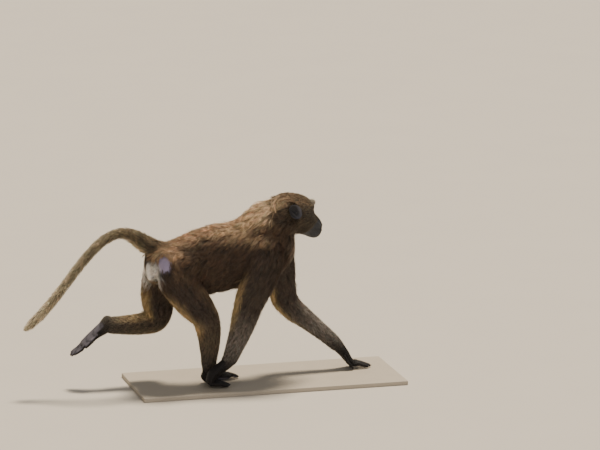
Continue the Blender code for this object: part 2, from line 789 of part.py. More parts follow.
def jaw_zone(name, grow):
    """Everything below the mouth's line and in front of its corner, as a block with a slanted top."""
    front = (0.175, mouth_height(0.175))
    outline = [front, MOUTH_CORNER, (MOUTH_CORNER[0] - 0.022, -0.105), (0.175, -0.105)]
    middle = Vector((0.130, -0.075))
    outline = [Vector(p) + (Vector(p) - middle).normalized() * grow * 1.3 for p in outline]
    vertices = [(p.x, y, p.y) for y in (-0.045 - grow, 0.045 + grow) for p in outline]
    faces = [(0, 1, 2, 3), (7, 6, 5, 4)] + [(k, k + 4, (k + 1) % 4 + 4, (k + 1) % 4) for k in range(4)]
    return mesh_object(name, vertices, faces)


def face_work(head):
    """Lids, eye sockets, lips, nostrils and the cut of the mouth, on the fused head."""
    frame = head_frame()
    extras = [lip("upper_lip", LIP_THICKNESS * 0.85), lip("lower_lip", -LIP_THICKNESS * 0.85)]
    for side in (-1, 1):
        extras.append(ring_tube("lids", almond(side, EYE_RADIUS + LID_RADIUS * 0.5), LID_RADIUS))
    for extra in extras:
        extra.data.transform(frame)
        boolean(head, extra, "UNION")
    eyes = {}
    for side, letter in ((-1, "r"), (1, "l")):
        at = frame @ Vector((EYE_AT[0], side * EYE_AT[1], EYE_AT[2]))
        turn = frame.to_3x3().to_4x4()
        boolean(head, ball("socket", at, (EYE_RADIUS + GAP,) * 3, turn, 10), "DIFFERENCE")
        eyes[f"eye_{letter}"] = ball("eye", at, (EYE_RADIUS,) * 3, turn, 10)
        at = Vector((NOSTRIL_AT[0], side * NOSTRIL_AT[1], NOSTRIL_AT[2]))
        pit = ball("nostril", at, NOSTRIL_SIZE, Matrix.Rotation(side * 0.5, 4, "X"), 8)
        pit.data.transform(frame)
        boolean(head, pit, "DIFFERENCE")
    jaw = twin(head, "jaw")
    zone = jaw_zone("jaw_zone", 0.0)
    wide = jaw_zone("jaw_zone", GAP)
    zone.data.transform(frame)
    wide.data.transform(frame)
    boolean(jaw, zone, "INTERSECT")
    boolean(head, wide, "DIFFERENCE")
    return largest(head), largest(jaw), eyes


def ramp(value, low, high):
    """A smooth rise from 0 at one value to 1 at the other."""
    share = min(max((value - low) / (high - low), 0.0), 1.0)
    return share * share * (3 - 2 * share)


def coat_depth(point, face):
    """Share of the long coat at a place: none on the lower limbs, the tail and the face."""
    ahead = (face @ point).x
    return ramp(point.z, 0.25, 0.33) * ramp(point.x, -0.20, -0.15) * (1 - ramp(ahead, 0.0, 0.045))


def lower_core(obj):
    """Sink the surface where the coat is long, so that the locks' tips end at the outline."""
    face = head_frame().inverted()
    normals = [v.normal.copy() for v in obj.data.vertices]
    for vertex, normal in zip(obj.data.vertices, normals):
        vertex.co -= normal * CORE_DROP * coat_depth(vertex.co, face)


def tree_of(obj):
    """A search tree over an object's faces."""
    return BVHTree.FromPolygons([v.co.copy() for v in obj.data.vertices],
                                [tuple(face.vertices) for face in obj.data.polygons])


def lie_of_coat(point, normal):
    """Way the hair lies: back along the body, and more downwards on neck, shoulders and flanks."""
    side = min(1.0, 1.0 - normal.z)
    nape = ramp(point.x, 0.16, 0.26)
    return Vector((-1.0, 0.0, -0.12 - 0.50 * side - 0.30 * nape))


def lock_path(tree, root, way, length):
    """Four places along a lock, on the surface, with the surface's normals there."""
    path = []
    here, normal, _, _ = tree.find_nearest(root)
    for share in (0.0, 0.33, 0.37, 0.30):
        if share > 0:
            step = (way - normal * way.dot(normal)).normalized() * length * share
            here, normal, _, _ = tree.find_nearest(here + step)
        path.append((here.copy(), normal.copy()))
    return path


def lock_form(path, width, thickness, tip_height):
    """A flat tongue of rhombic section along a path: root sunk, tip at the coat's outline."""
    lifts = (-LOCK_ROOT, 0.30 * tip_height, 0.70 * tip_height, tip_height)
    points = [here + normal * lift for (here, normal), lift in zip(path, lifts)]
    vertices = []
    for i, (broad, thick) in enumerate(((0.80, 1.0), (1.0, 1.0), (0.68, 0.75))):
        normal = path[i][1]
        ahead = (points[i + 1] - points[i]).normalized()
        side = ahead.cross(normal).normalized() * 0.5 * width * broad
        up = normal * 0.5 * thickness * thick
        vertices += [points[i] - side, points[i] + up, points[i] + side, points[i] - up]
    vertices.append(points[3])
    faces = [(0, 1, 2), (0, 2, 3)]
    for ring in (0, 4):
        for k in range(4):
            n = (k + 1) % 4
            faces += [(ring + k, ring + 4 + k, ring + 4 + n), (ring + k, ring + 4 + n, ring + n)]
    faces += [(8 + k, 12, 8 + (k + 1) % 4) for k in range(4)]
    return mesh_object("lock", vertices, faces)


def mantle_places(tree, dice):
    """Roots of the locks on neck, back, flanks, shoulders and haunches: place and way."""
    rows = np.array(TRUNK)
    places = []
    station = 0
    x = MANTLE_FROM
    while x > MANTLE_TO:
        middle = np.interp(x, rows[:, 0], 0.5 * (rows[:, 1] + rows[:, 2]))
        count = int(LOCK_REACH / LOCK_ANGLE) + 1
        for k in range(-count, count + 1):
            angle = (k + 0.5 * (station % 2) + dice.uniform(-0.12, 0.12)) * LOCK_ANGLE
            if abs(angle) > LOCK_REACH:
                continue
            out = Vector((0.0, math.sin(angle), math.cos(angle)))
            start = Vector((x + dice.uniform(-0.008, 0.008), 0.0, middle)) + out * 0.4
            here, normal, _, _ = tree.ray_cast(start, -out)
            if here is None or here.z < 0.30:
                continue
            way = lie_of_coat(here, normal)
            way.y += dice.uniform(-0.10, 0.10)
            way.z += dice.uniform(-0.10, 0.10)
            places.append((here, way, LOCK_LENGTH * dice.uniform(0.85, 1.1), LOCK_WIDTH, LOCK_THICKNESS,
                           CORE_DROP * dice.uniform(0.9, 1.15)))
        x -= LOCK_STEP
        station += 1
    return places


def fringe(start, end, count, way, length, width, height, dice):
    """A row of locks between two places, all lying one way."""
    places = []
    for k in range(count):
        at = Vector(start).lerp(Vector(end), k / max(count - 1, 1))
        turn = Vector([dice.uniform(-0.1, 0.1) for _ in range(3)])
        places.append((at, Vector(way) + turn, length * dice.uniform(0.85, 1.1), width, LOCK_THICKNESS * 0.8,
                       height))
    return places


def fringes(dice):
    """The longer hair behind elbows and thighs, under the tail's root and at its tip."""
    places = fringe((0.104, -0.092, 0.275), (0.112, -0.092, 0.240), 2, (-0.5, 0, -0.9), 0.045, 0.026, 0.006, dice)
    places += fringe((0.268, 0.070, 0.280), (0.290, 0.070, 0.240), 2, (-0.2, 0, -1.0), 0.045, 0.026, 0.006, dice)
    places += fringe((-0.185, 0.052, 0.340), (-0.178, 0.060, 0.270), 3, (-0.25, 0, -1.0), 0.050, 0.028, 0.007, dice)
    places += fringe((-0.185, 0.078, 0.325), (-0.176, 0.080, 0.285), 2, (-0.25, 0, -1.0), 0.050, 0.028, 0.006, dice)
    places += fringe((-0.150, -0.050, 0.340), (-0.095, -0.072, 0.285), 3, (0.1, 0, -1.0), 0.050, 0.028, 0.006, dice)
    for side in (-1, 1):
        places += fringe((-0.172, side * 0.016, 0.458), (-0.215, side * 0.012, 0.492), 2, (-0.8, side * 0.1, -0.2),
                         0.045, 0.022, 0.004, dice)
        places += fringe((-0.560, side * 0.008, 0.250), (-0.575, side * 0.008, 0.236), 2, (-0.7, 0, -0.7),
                         0.034, 0.014, 0.003, dice)
    return places


def head_places(dice):
    """Locks of the cheeks and crown and the tufts of the brow."""
    face = head_frame()
    turn = face.to_3x3()
    places = []
    for side in (-1, 1):
        rows = [((0.026, 0.054, 0.030), (-0.8, 0.1, 0.2)), ((0.020, 0.056, -0.014), (-1.0, 0.1, -0.1)),
                ((0.030, 0.046, -0.044), (-1.0, 0.1, -0.35)), ((-0.012, 0.050, -0.050), (-0.9, 0.1, -0.6)),
                ((0.002, 0.040, 0.062), (-1.0, 0.0, 0.0)), ((0.030, 0.018, 0.069), (-1.0, 0.0, 0.0))]
        for at, way in rows:
            places.append((face @ Vector((at[0], side * at[1], at[2])), turn @ Vector((way[0], side * way[1], way[2])),
                           0.048 * dice.uniform(0.9, 1.1), 0.024, LOCK_THICKNESS * 0.8, CORE_DROP))
        for at, way in (((0.066, 0.012, 0.052), (0.75, 0.1, 0.55)), ((0.060, 0.028, 0.048), (0.7, 0.4, 0.45))):
            tip = face @ Vector((at[0], side * at[1], at[2]))
            places.append((tip, turn @ Vector((way[0], side * way[1], way[2])), 0.018, 0.013, 0.003, 0.004))
    return places


def owner_of(path, width, trees):
    """Name of the one piece that a lock's path lies on, or None where it comes near another."""
    side = (path[2][0] - path[1][0]).cross(path[1][1]).normalized() * 0.5 * width
    tests = [here for here, _ in path] + [path[1][0] + side, path[1][0] - side]
    near = [{name: tree.find_nearest(p)[3] for name, tree in trees.items()} for p in tests]
    owner = min(near[0], key=near[0].get)
    if all(reach > LOCK_CLEAR for row in near for name, reach in row.items() if name != owner):
        return owner
    return None


def dress(pieces, places, tree):
    """Fuse each lock into the piece that it lies on, made smaller where it would cross a cut."""
    trees = {name: tree_of(obj) for name, obj in pieces.items()}
    held = {name: [] for name in pieces}
    for at, way, length, width, thickness, height in places:
        for share in LOCK_SHARES:
            path = lock_path(tree, at, way, length * share)
            broad = width * (0.4 + 0.6 * share)
            owner = owner_of(path, broad, trees)
            if owner:
                held[owner].append(lock_form(path, broad, thickness, height))
                break
    for name, locks in held.items():
        if locks:
            joined(pieces[name], locks)


def base_plate():
    """Thin plate with eased top edges, its top level with the ground."""
    half_x, half_y = BASE_LENGTH / 2, BASE_WIDTH / 2
    plate = block("stand_base", (-half_x, -half_y, 0), (half_x, half_y, BASE_THICKNESS))
    work = bmesh.new()
    work.from_mesh(plate.data)
    rim = [e for e in work.edges if all(v.co.z > BASE_THICKNESS / 2 for v in e.verts)
           or abs(e.verts[0].co.z - e.verts[1].co.z) > BASE_THICKNESS / 2]
    bmesh.ops.bevel(work, geom=rim, offset=BASE_EASE, segments=2, profile=0.5, affect="EDGES")
    bmesh.ops.triangulate(work, faces=work.faces[:])
    work.to_mesh(plate.data)
    work.free()
    return plate


def build():
    clear_scene()
    coat = material("coat", (0.34, 0.22, 0.12), 0.9)
    bare = material("bare_skin", (0.10, 0.09, 0.09), 0.6)
    eye = material("eye", (0.06, 0.03, 0.01), 0.2)
    pad = material("seat_pad", (0.55, 0.50, 0.50), 0.7)
    wood = material("base", (0.30, 0.22, 0.15), 0.6)
    done = {}

    heads = head_forms()
    for form in heads:
        form.data.transform(head_frame())
    trunk = slices("trunk", TRUNK)
    chest = slices("chest", TRUNK[8:])
    neck = tube("neck", NECK)
    limbs = {name: tube(name, rows) for name, rows in LIMBS.items()}
    tail = tube("tail", TAIL, count=14)
    body = fused("body", [trunk, neck, tail] + heads + list(limbs.values()), BODY_GRAIN, BODY_EASE)
    lower_core(body)
    thinned(body, BODY_TRIANGLES)
    surface = tree_of(body)
    for side, letter in ((-1, "r"), (1, "l")):
        at = (PAD_AT[0], side * PAD_AT[1], PAD_AT[2])
        boolean(body, ball("seat", at, [s + GAP for s in PAD_SIZE], None, 8), "DIFFERENCE")
        done[f"seat_pad_{letter}"] = ball("seat", at, PAD_SIZE, None, 8)

    for name, rows in LIMBS.items():
        body, upper = part_by_zone(body, name, rows)
        upper_name, lower_name, end_name, paw_forms = LIMB_PIECES[name]
        upper, lower = part_by_plane(upper, upper_name, lower_name, *ELBOWS_AND_KNEES[name])
        point, way = WRISTS_AND_ANKLES[name]
        way = Vector(way).normalized()
        cut_off(lower, Vector(point) - way * GAP / 2, way)
        forms = paw_forms()
        done[upper_name] = upper
        done[lower_name] = lower
        done[end_name] = paw(end_name, forms, limbs[name], point, way)
        drop(*forms)

    body, tail_root = part_by_zone(body, "tail_root", TAIL[2:], 1.25, 0.006, 0)
    tail_root, tail_middle = part_by_plane(tail_root, "tail_root", "tail_middle", *TAIL_CUTS[0])
    tail_middle, tail_end = part_by_plane(tail_middle, "tail_middle", "tail_end", *TAIL_CUTS[1])
    done.update(tail_root=tail_root, tail_middle=tail_middle, tail_end=tail_end)

    point, way = Vector(NECK_CUT[0]), Vector(NECK_CUT[1]).normalized()
    cut_off(body, point - way * GAP / 2, way)
    head = fused("head", [chest, neck] + heads, FINE_GRAIN, 5)
    lower_core(head)
    cut_off(head, point - way * 0.015, -way)
    thinned(head, HEAD_TRIANGLES)
    head_surface = tree_of(head)
    cut_off(head, point + way * GAP / 2, -way)
    for rows in (RIGHT_ARM, LEFT_ARM):
        boolean(head, zone(rows, 1.10, 0.005, 2, GAP), "DIFFERENCE")
    head, jaw, eyes = face_work(head)
    done.update(head=head, jaw=jaw, **eyes)
    for side, letter in ((-1, "r"), (1, "l")):
        leaf = ear_form(side)
        boolean(leaf, grown(head, "shell", GAP), "DIFFERENCE")
        done[f"ear_{letter}"] = largest(leaf)

    torso, neck_piece = part_by_plane(body, "torso", "neck", *THROAT_CUT)
    done.update(torso=torso, neck=neck_piece)

    dice = random.Random(LOCK_SEED)
    coated = {name: done[name] for name in COATED}
    dress(coated, mantle_places(surface, dice) + fringes(dice), surface)
    dress(coated, head_places(dice), head_surface)

    drop(trunk, chest, neck, tail, *limbs.values(), *heads)
    lift = Matrix.Translation((-BASE_MIDDLE_X, -BASE_MIDDLE_Y, BASE_THICKNESS + GAP))
    for name, obj in done.items():
        obj.data.transform(lift)
    done["stand_base"] = base_plate()
    finishes = {"eye": eye, "seat": pad, "stand": wood, "ear": bare, "hand": bare, "foot": bare}
    for name, obj in done.items():
        obj.name = name
        obj.data.name = name
        obj.data.materials.clear()
        obj.data.materials.append(finishes.get(name.split("_")[0], coat))
    return done


if __name__ == "__main__":
    build()
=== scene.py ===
"""A slim, red-brown baboon walking, as a life-size museum model on a thin painted base.

The skin is modelled whole, from lofted forms laid out in the animal's own frame, whose origin is
on the ground under the heel of the right foot. It lies under the solids' surface by the depth of
the coat. The coat is solid tufts, rooted on the skin and lying along the body.
"""
import math

import bmesh
import bpy
import numpy as np
from mathutils import Matrix, Vector
from mathutils.bvhtree import BVHTree
from mathutils.kdtree import KDTree


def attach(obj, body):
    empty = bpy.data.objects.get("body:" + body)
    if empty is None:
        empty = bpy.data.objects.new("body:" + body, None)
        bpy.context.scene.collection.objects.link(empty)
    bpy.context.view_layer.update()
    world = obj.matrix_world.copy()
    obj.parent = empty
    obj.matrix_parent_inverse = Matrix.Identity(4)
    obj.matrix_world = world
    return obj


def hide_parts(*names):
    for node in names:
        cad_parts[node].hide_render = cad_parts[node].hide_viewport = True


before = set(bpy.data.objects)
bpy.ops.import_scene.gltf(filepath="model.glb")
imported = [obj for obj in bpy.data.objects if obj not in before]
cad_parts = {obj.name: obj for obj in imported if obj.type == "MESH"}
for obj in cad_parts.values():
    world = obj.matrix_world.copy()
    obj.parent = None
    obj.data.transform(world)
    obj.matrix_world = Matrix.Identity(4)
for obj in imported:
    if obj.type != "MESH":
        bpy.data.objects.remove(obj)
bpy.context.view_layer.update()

# Lengths in the tables are metres. MM turns millimetres into them.
MM = 0.001
SEED = 11

# Where the animal's own frame sits in the model's.
ORIGIN = np.array((-0.225, 0.010, 0.0143))

# Grain of the fused skin, rounds of smoothing and triangles kept, for each of its three finenesses.
BODY_SKIN = (2.2 * MM, 36, 60000)
HEAD_SKIN = (0.8 * MM, 3, 60000)
PAW_SKIN = (0.9 * MM, 9, 14000)
EAR_SKIN = (0.5 * MM, 6, 9000)

# Trunk, in upright slices: place along the body, top, bottom, half width.
TRUNK = [
    (-0.180, 0.436, 0.374, 0.026),
    (-0.163, 0.466, 0.354, 0.056),
    (-0.125, 0.486, 0.340, 0.074),
    (-0.080, 0.498, 0.328, 0.080),
    (-0.030, 0.520, 0.308, 0.078),
    (0.020, 0.535, 0.299, 0.076),
    (0.070, 0.543, 0.306, 0.080),
    (0.120, 0.548, 0.314, 0.086),
    (0.170, 0.562, 0.318, 0.090),
    (0.220, 0.562, 0.326, 0.086),
    (0.265, 0.550, 0.348, 0.074),
    (0.300, 0.528, 0.376, 0.056),
    (0.324, 0.500, 0.408, 0.030),
]

# Tubes, from their roots outwards: middle, half width sideways, half depth in the upright plane.
NECK = [
    (0.150, 0.000, 0.462, 0.070, 0.080),
    (0.215, 0.000, 0.502, 0.072, 0.087),
    (0.260, 0.004, 0.530, 0.064, 0.088),
    (0.300, 0.008, 0.552, 0.058, 0.078),
]
TAIL = [
    (-0.085, 0.000, 0.446, 0.045, 0.040),
    (-0.130, 0.000, 0.456, 0.036, 0.037),
    (-0.165, 0.000, 0.474, 0.029, 0.034),
    (-0.200, 0.000, 0.499, 0.023, 0.028),
    (-0.235, 0.001, 0.520, 0.019, 0.022),
    (-0.265, 0.002, 0.5265, 0.0175, 0.0185),
    (-0.297, 0.003, 0.520, 0.0165, 0.0170),
    (-0.335, 0.004, 0.498, 0.0160, 0.0165),
    (-0.375, 0.005, 0.461, 0.0155, 0.0160),
    (-0.412, 0.005, 0.419, 0.0150, 0.0155),
    (-0.446, 0.004, 0.377, 0.0150, 0.0150),
    (-0.478, 0.003, 0.337, 0.0145, 0.0150),
    (-0.510, 0.001, 0.300, 0.0145, 0.0150),
    (-0.545, -0.001, 0.263, 0.0140, 0.0145),
    (-0.577, -0.003, 0.234, 0.0120, 0.0125),
    (-0.598, -0.004, 0.216, 0.0070, 0.0075),
]
RIGHT_ARM = [
    (0.222, -0.058, 0.462, 0.034, 0.060),
    (0.212, -0.072, 0.415, 0.038, 0.066),
    (0.192, -0.084, 0.360, 0.036, 0.060),
    (0.166, -0.090, 0.307, 0.032, 0.053),
    (0.148, -0.094, 0.262, 0.029, 0.047),
    (0.129, -0.097, 0.208, 0.027, 0.041),
    (0.108, -0.099, 0.155, 0.024, 0.034),
    (0.090, -0.100, 0.112, 0.0215, 0.0275),
    (0.082, -0.100, 0.092, 0.0205, 0.0245),
]
LEFT_ARM = [
    (0.270, 0.052, 0.452, 0.034, 0.054),
    (0.290, 0.066, 0.405, 0.036, 0.060),
    (0.303, 0.071, 0.350, 0.034, 0.054),
    (0.311, 0.072, 0.297, 0.031, 0.047),
    (0.321, 0.070, 0.250, 0.029, 0.043),
    (0.352, 0.064, 0.210, 0.027, 0.038),
    (0.392, 0.057, 0.176, 0.025, 0.033),
    (0.430, 0.050, 0.143, 0.023, 0.029),
    (0.466, 0.043, 0.112, 0.021, 0.0255),
    (0.487, 0.039, 0.092, 0.0200, 0.0230),
]
RIGHT_LEG = [
    (-0.122, -0.040, 0.430, 0.040, 0.050),
    (-0.094, -0.056, 0.378, 0.048, 0.068),
    (-0.062, -0.066, 0.328, 0.046, 0.063),
    (-0.030, -0.072, 0.285, 0.041, 0.056),
    (-0.002, -0.074, 0.250, 0.037, 0.047),
    (0.014, -0.070, 0.214, 0.033, 0.042),
    (0.020, -0.064, 0.172, 0.030, 0.039),
    (0.022, -0.056, 0.130, 0.026, 0.034),
    (0.023, -0.048, 0.094, 0.022, 0.028),
    (0.022, -0.043, 0.066, 0.020, 0.025),
]
LEFT_LEG = [
    (-0.120, 0.040, 0.430, 0.040, 0.050),
    (-0.120, 0.055, 0.378, 0.047, 0.066),
    (-0.124, 0.064, 0.325, 0.047, 0.061),
    (-0.126, 0.066, 0.275, 0.042, 0.054),
    (-0.124, 0.066, 0.235, 0.037, 0.046),
    (-0.138, 0.066, 0.203, 0.034, 0.041),
    (-0.182, 0.065, 0.195, 0.031, 0.037),
    (-0.226, 0.064, 0.194, 0.028, 0.034),
    (-0.266, 0.063, 0.195, 0.024, 0.030),
    (-0.296, 0.062, 0.197, 0.021, 0.028),
]

# Where the head sits, how far it is turned to the animal's left, and how far it is bowed.
HEAD_AT = (0.326, 0.008, 0.562)
HEAD_TURN = math.radians(30)
HEAD_BOW = math.radians(12)

# Head, in slices across its own long axis: place, top, bottom, half width, all from HEAD_AT.
HEAD = [
    (-0.078, 0.040, -0.015, 0.030),
    (-0.060, 0.058, -0.040, 0.047),
    (-0.030, 0.068, -0.056, 0.054),
    (0.000, 0.071, -0.063, 0.056),
    (0.030, 0.068, -0.067, 0.054),
    (0.055, 0.060, -0.069, 0.048),
    (0.070, 0.050, -0.070, 0.041),
    (0.081, 0.032, -0.071, 0.034),
    (0.092, 0.017, -0.073, 0.0285),
    (0.106, 0.004, -0.076, 0.0250),
    (0.121, -0.008, -0.077, 0.0230),
    (0.134, -0.017, -0.073, 0.0205),
    (0.1435, -0.026, -0.064, 0.0155),
    (0.148, -0.036, -0.053, 0.0080),
]
# Eyes: where they sit from HEAD_AT, their radius, and how far each looks to its own side.
EYE_AT = (0.0712, 0.0192, 0.0265)
EYE_RADIUS = 9.0 * MM
EYE_TOE = 0.24
# Ears: where they sit from HEAD_AT, how far they turn and lean, and their sizes.
EAR_AT = (-0.039, 0.0560, 0.010)
EAR_FLARE = math.radians(-8)
EAR_LEAN = math.radians(-60)
EAR_HEIGHT = 0.060
EAR_WIDTH = 0.044
EAR_THICKNESS = 0.0034
EAR_CUP = 0.0085
# Nostrils from HEAD_AT, and the reach and height of the mouth's front and corner.
NOSTRIL_AT = (0.1455, 0.0072, -0.0310)
MOUTH_FRONT = (0.1472, -0.052)
MOUTH_CORNER = (0.088, -0.046)

# Depth of the lying coat over the skin, where it is deepest and towards the ends of each limb.
TRUNK_COAT = 11.5 * MM
NECK_COAT = 12.5 * MM
TAIL_COAT = (9.0 * MM, 4.5 * MM)
ARM_COAT = (10.5 * MM, 0.8 * MM)
LEG_COAT = (10.5 * MM, 0.8 * MM)
HEAD_COAT = 9.0 * MM
# The same at the trunk's rear end, at the tail's root, and at wrists and ankles.
TRUNK_END_COAT = (3 * MM, 7 * MM)
TAIL_ROOT_COAT = (11 * MM, 10 * MM)
WRIST_COAT = (4.5 * MM, 2.4 * MM)

# Eggs that round the skin out where a limb or the neck runs into the trunk: middle and half sizes.
HAUNCH = ((-0.070, 0.046, 0.392), (0.078, 0.040, 0.074))
SHOULDER = ((0.205, 0.052, 0.430), (0.070, 0.036, 0.082))
NAPE = ((0.258, 0.006, 0.566), (0.058, 0.044, 0.036))


def blend_rise(value, low, high):
    """A smooth rise from 0 at one value to 1 at the other."""
    share = np.clip((value - low) / (high - low), 0.0, 1.0)
    return share * share * (3 - 2 * share)


def smooth_rows(rows, steps):
    """Rows read from a smooth curve through the given ones, with steps between each pair."""
    rows = np.array(rows, dtype=float)
    ends = np.vstack([2 * rows[0] - rows[1], rows, 2 * rows[-1] - rows[-2]])
    out = []
    for i in range(len(rows) - 1):
        a, b, c, d = ends[i:i + 4]
        for t in np.linspace(0, 1, steps, endpoint=False):
            out.append(0.5 * (2 * b + (c - a) * t + (2 * a - 5 * b + 4 * c - d) * t ** 2
                              + (3 * b - a - 3 * c + d) * t ** 3))
    out.append(rows[-1])
    return np.array(out)


def form_of_rings(rings):
    """Vertices and faces of a closed form over a row of rings of equal count."""
    rings = np.array(rings)
    total, count = rings.shape[:2]
    vertices = np.vstack([rings.reshape(-1, 3), rings[0].mean(axis=0), rings[-1].mean(axis=0)])
    faces = []
    for r in range(total - 1):
        for k in range(count):
            n = (k + 1) % count
            faces.append((r * count + k, r * count + n, (r + 1) * count + n, (r + 1) * count + k))
    first = total * count
    last_ring = (total - 1) * count
    for k in range(count):
        n = (k + 1) % count
        faces.append((first, n, k))
        faces.append((first + 1, last_ring + k, last_ring + n))
    return vertices, faces


def slices(rows, depth, boxy=0.0, count=48, steps=5):
    """A form from upright slices across X, lowered by the coat's depth and boxed out where told."""
    depth = np.broadcast_to(depth, len(rows))
    boxy = np.broadcast_to(boxy, len(rows))
    turn = np.linspace(0, 2 * math.pi, count, endpoint=False)
    rings = []
    for x, top, bottom, half, sink, box in smooth_rows(np.column_stack([rows, depth, boxy]), steps):
        middle = 0.5 * (top + bottom)
        tall = max(0.5 * (top - bottom) - sink, 0.002)
        half = max(half - sink, 0.002)
        power = 1.0 / (1.0 + max(box, 0.0))
        wide = half * np.sign(np.cos(turn)) * np.abs(np.cos(turn)) ** power
        high = tall * np.sign(np.sin(turn)) * np.abs(np.sin(turn)) ** power
        rings.append(np.column_stack([np.full(count, x), wide, middle + high]))
    return form_of_rings(rings)


def tube(rows, depth=0.0, count=24, steps=5, side=(0, 1, 0), cap=3):
    """A round-ended tube, lowered by the coat's depth: middle, half width sideways, half depth."""
    rows = np.array(rows, dtype=float)
    rows = smooth_rows(np.column_stack([rows, np.broadcast_to(depth, len(rows))]), steps)
    middles = rows[:, :3]
    widths = np.maximum(rows[:, 3:5] - rows[:, 5:6], 0.0008)
    heading = np.gradient(middles, axis=0)
    heading /= np.linalg.norm(heading, axis=1)[:, None]
    side = np.array(side, dtype=float)
    turn = np.linspace(0, 2 * math.pi, count, endpoint=False)

    def ring(i, scale, push):
        along = heading[i]
        across = side - along * side.dot(along)
        across /= np.linalg.norm(across)
        deep = np.cross(along, across)
        reach = push * min(widths[i])
        spread = across[None, :] * np.cos(turn)[:, None] * widths[i][0]
        spread = spread + deep[None, :] * np.sin(turn)[:, None] * widths[i][1]
        return middles[i] + along * reach + scale * spread

    ends = [0.5 * math.pi * (c + 0.5) / cap for c in range(cap)]
    rings = [ring(0, math.sin(a), -math.cos(a)) for a in ends]
    rings += [ring(i, 1.0, 0.0) for i in range(len(middles))]
    rings += [ring(len(middles) - 1, math.sin(a), math.cos(a)) for a in reversed(ends)]
    return form_of_rings(rings)


def ball(at, size, turn=None, count=20):
    """An egg of the given half sizes, long in X."""
    rings = []
    around = np.linspace(0, 2 * math.pi, count, endpoint=False)
    for a in np.linspace(0.06, math.pi - 0.06, count // 2 + 1):
        rings.append(np.column_stack([np.full(count, -math.cos(a) * size[0]),
                                      math.sin(a) * np.cos(around) * size[1],
                                      math.sin(a) * np.sin(around) * size[2]]))
    vertices, faces = form_of_rings(rings)
    if turn is not None:
        vertices = vertices @ np.array(turn.to_3x3()).T
    return vertices + np.array(at), faces


def placed(form, matrix):
    """A form moved by a matrix."""
    vertices, faces = form
    matrix = np.array(matrix)
    return vertices @ matrix[:3, :3].T + matrix[:3, 3], faces


def mesh_object(name, vertices, faces):
    """A new object from arrays, with its faces turned outwards."""
    mesh = bpy.data.meshes.new(name)
    mesh.from_pydata(np.asarray(vertices).tolist(), [], [tuple(f) for f in faces])
    work = bmesh.new()
    work.from_mesh(mesh)
    bmesh.ops.recalc_face_normals(work, faces=work.faces)
    work.to_mesh(mesh)
    work.free()
    obj = bpy.data.objects.new(name, mesh)
    bpy.context.collection.objects.link(obj)
    return obj


def settle(obj):
    """Turn an object's modifiers into its mesh."""
    graph = bpy.context.evaluated_depsgraph_get()
    mesh = bpy.data.meshes.new_from_object(obj.evaluated_get(graph))
    obj.modifiers.clear()
    obj.data = mesh
    return obj


def drop(*objects):
    """Remove helper objects that have done their work."""
    for obj in objects:
        bpy.data.objects.remove(obj, do_unlink=True)


def cut_away(obj, *others):
    """Take closed forms out of an object, one after another."""
    for other in others:
        step = obj.modifiers.new("Boolean", "BOOLEAN")
        step.operation = "DIFFERENCE"
        step.solver = "MANIFOLD"
        step.object = other
        settle(obj)
        drop(other)
    return obj


def fused(name, forms, grain, rounds):
    """Fuse overlapping closed forms into one smooth skin."""
    vertices = []
    faces = []
    start = 0
    for points, sides in forms:
        vertices.append(points)
        faces += [tuple(start + i for i in side) for side in sides]
        start += len(points)
    obj = mesh_object(name, np.vstack(vertices), faces)
    voxels = obj.modifiers.new("Remesh", "REMESH")
    voxels.mode = "VOXEL"
    voxels.voxel_size = grain
    ease = obj.modifiers.new("Smooth", "SMOOTH")
    ease.factor = 0.5
    ease.iterations = rounds
    return settle(obj)


def blended(forms, grain, rounds):
    """Overlapping forms run softly into each other, as one form."""
    obj = fused("blend", forms, grain, rounds)
    form = places_of(obj), [tuple(face.vertices) for face in obj.data.polygons]
    drop(obj)
    return form


def places_of(obj):
    """An object's vertices as an array."""
    flat = np.empty(len(obj.data.vertices) * 3)
    obj.data.vertices.foreach_get("co", flat)
    return flat.reshape(-1, 3)


def normals_of(obj):
    """An object's vertex normals as an array."""
    flat = np.empty(len(obj.data.vertices) * 3)
    obj.data.vertex_normals.foreach_get("vector", flat)
    return flat.reshape(-1, 3)


def set_places(obj, places):
    """Move an object's vertices to the given places."""
    obj.data.vertices.foreach_set("co", np.ascontiguousarray(places).ravel())
    obj.data.update()


def head_frame():
    """From the head's own frame to the animal's."""
    turn = Matrix.Rotation(HEAD_TURN, 4, "Z") @ Matrix.Rotation(HEAD_BOW, 4, "Y")
    return Matrix.Translation(Vector(HEAD_AT)) @ turn


HEAD_FRAME = head_frame()
# Tip, ways along and up, and radius of every finger and toe, noted as they are made.
NAILS = []


def digit(root, knuckle, tip, radius, up):
    """One finger or toe, thick at its joints and at the pad of its tip; its nail is noted."""
    root, knuckle, tip, up = (np.array(p, dtype=float) for p in (root, knuckle, tip, up))
    last = knuckle + 0.52 * (tip - knuckle)
    rows = [
        (*root, radius * 1.18, radius * 1.15),
        (*(0.5 * (root + knuckle)), radius * 0.97, radius * 0.95),
        (*knuckle, radius * 1.10, radius * 1.08),
        (*(0.5 * (knuckle + last)), radius * 0.93, radius * 0.90),
        (*last, radius * 1.00, radius * 0.96),
        (*(0.5 * (last + tip)), radius * 0.90, radius * 0.86),
        (*tip, radius * 0.80, radius * 0.70),
    ]
    along = tip - last
    along /= np.linalg.norm(along)
    up = up - along * up.dot(along)
    up /= np.linalg.norm(up)
    NAILS.append((tip + along * radius * 0.10, along, up, radius))
    return tube(rows, count=16, steps=3)


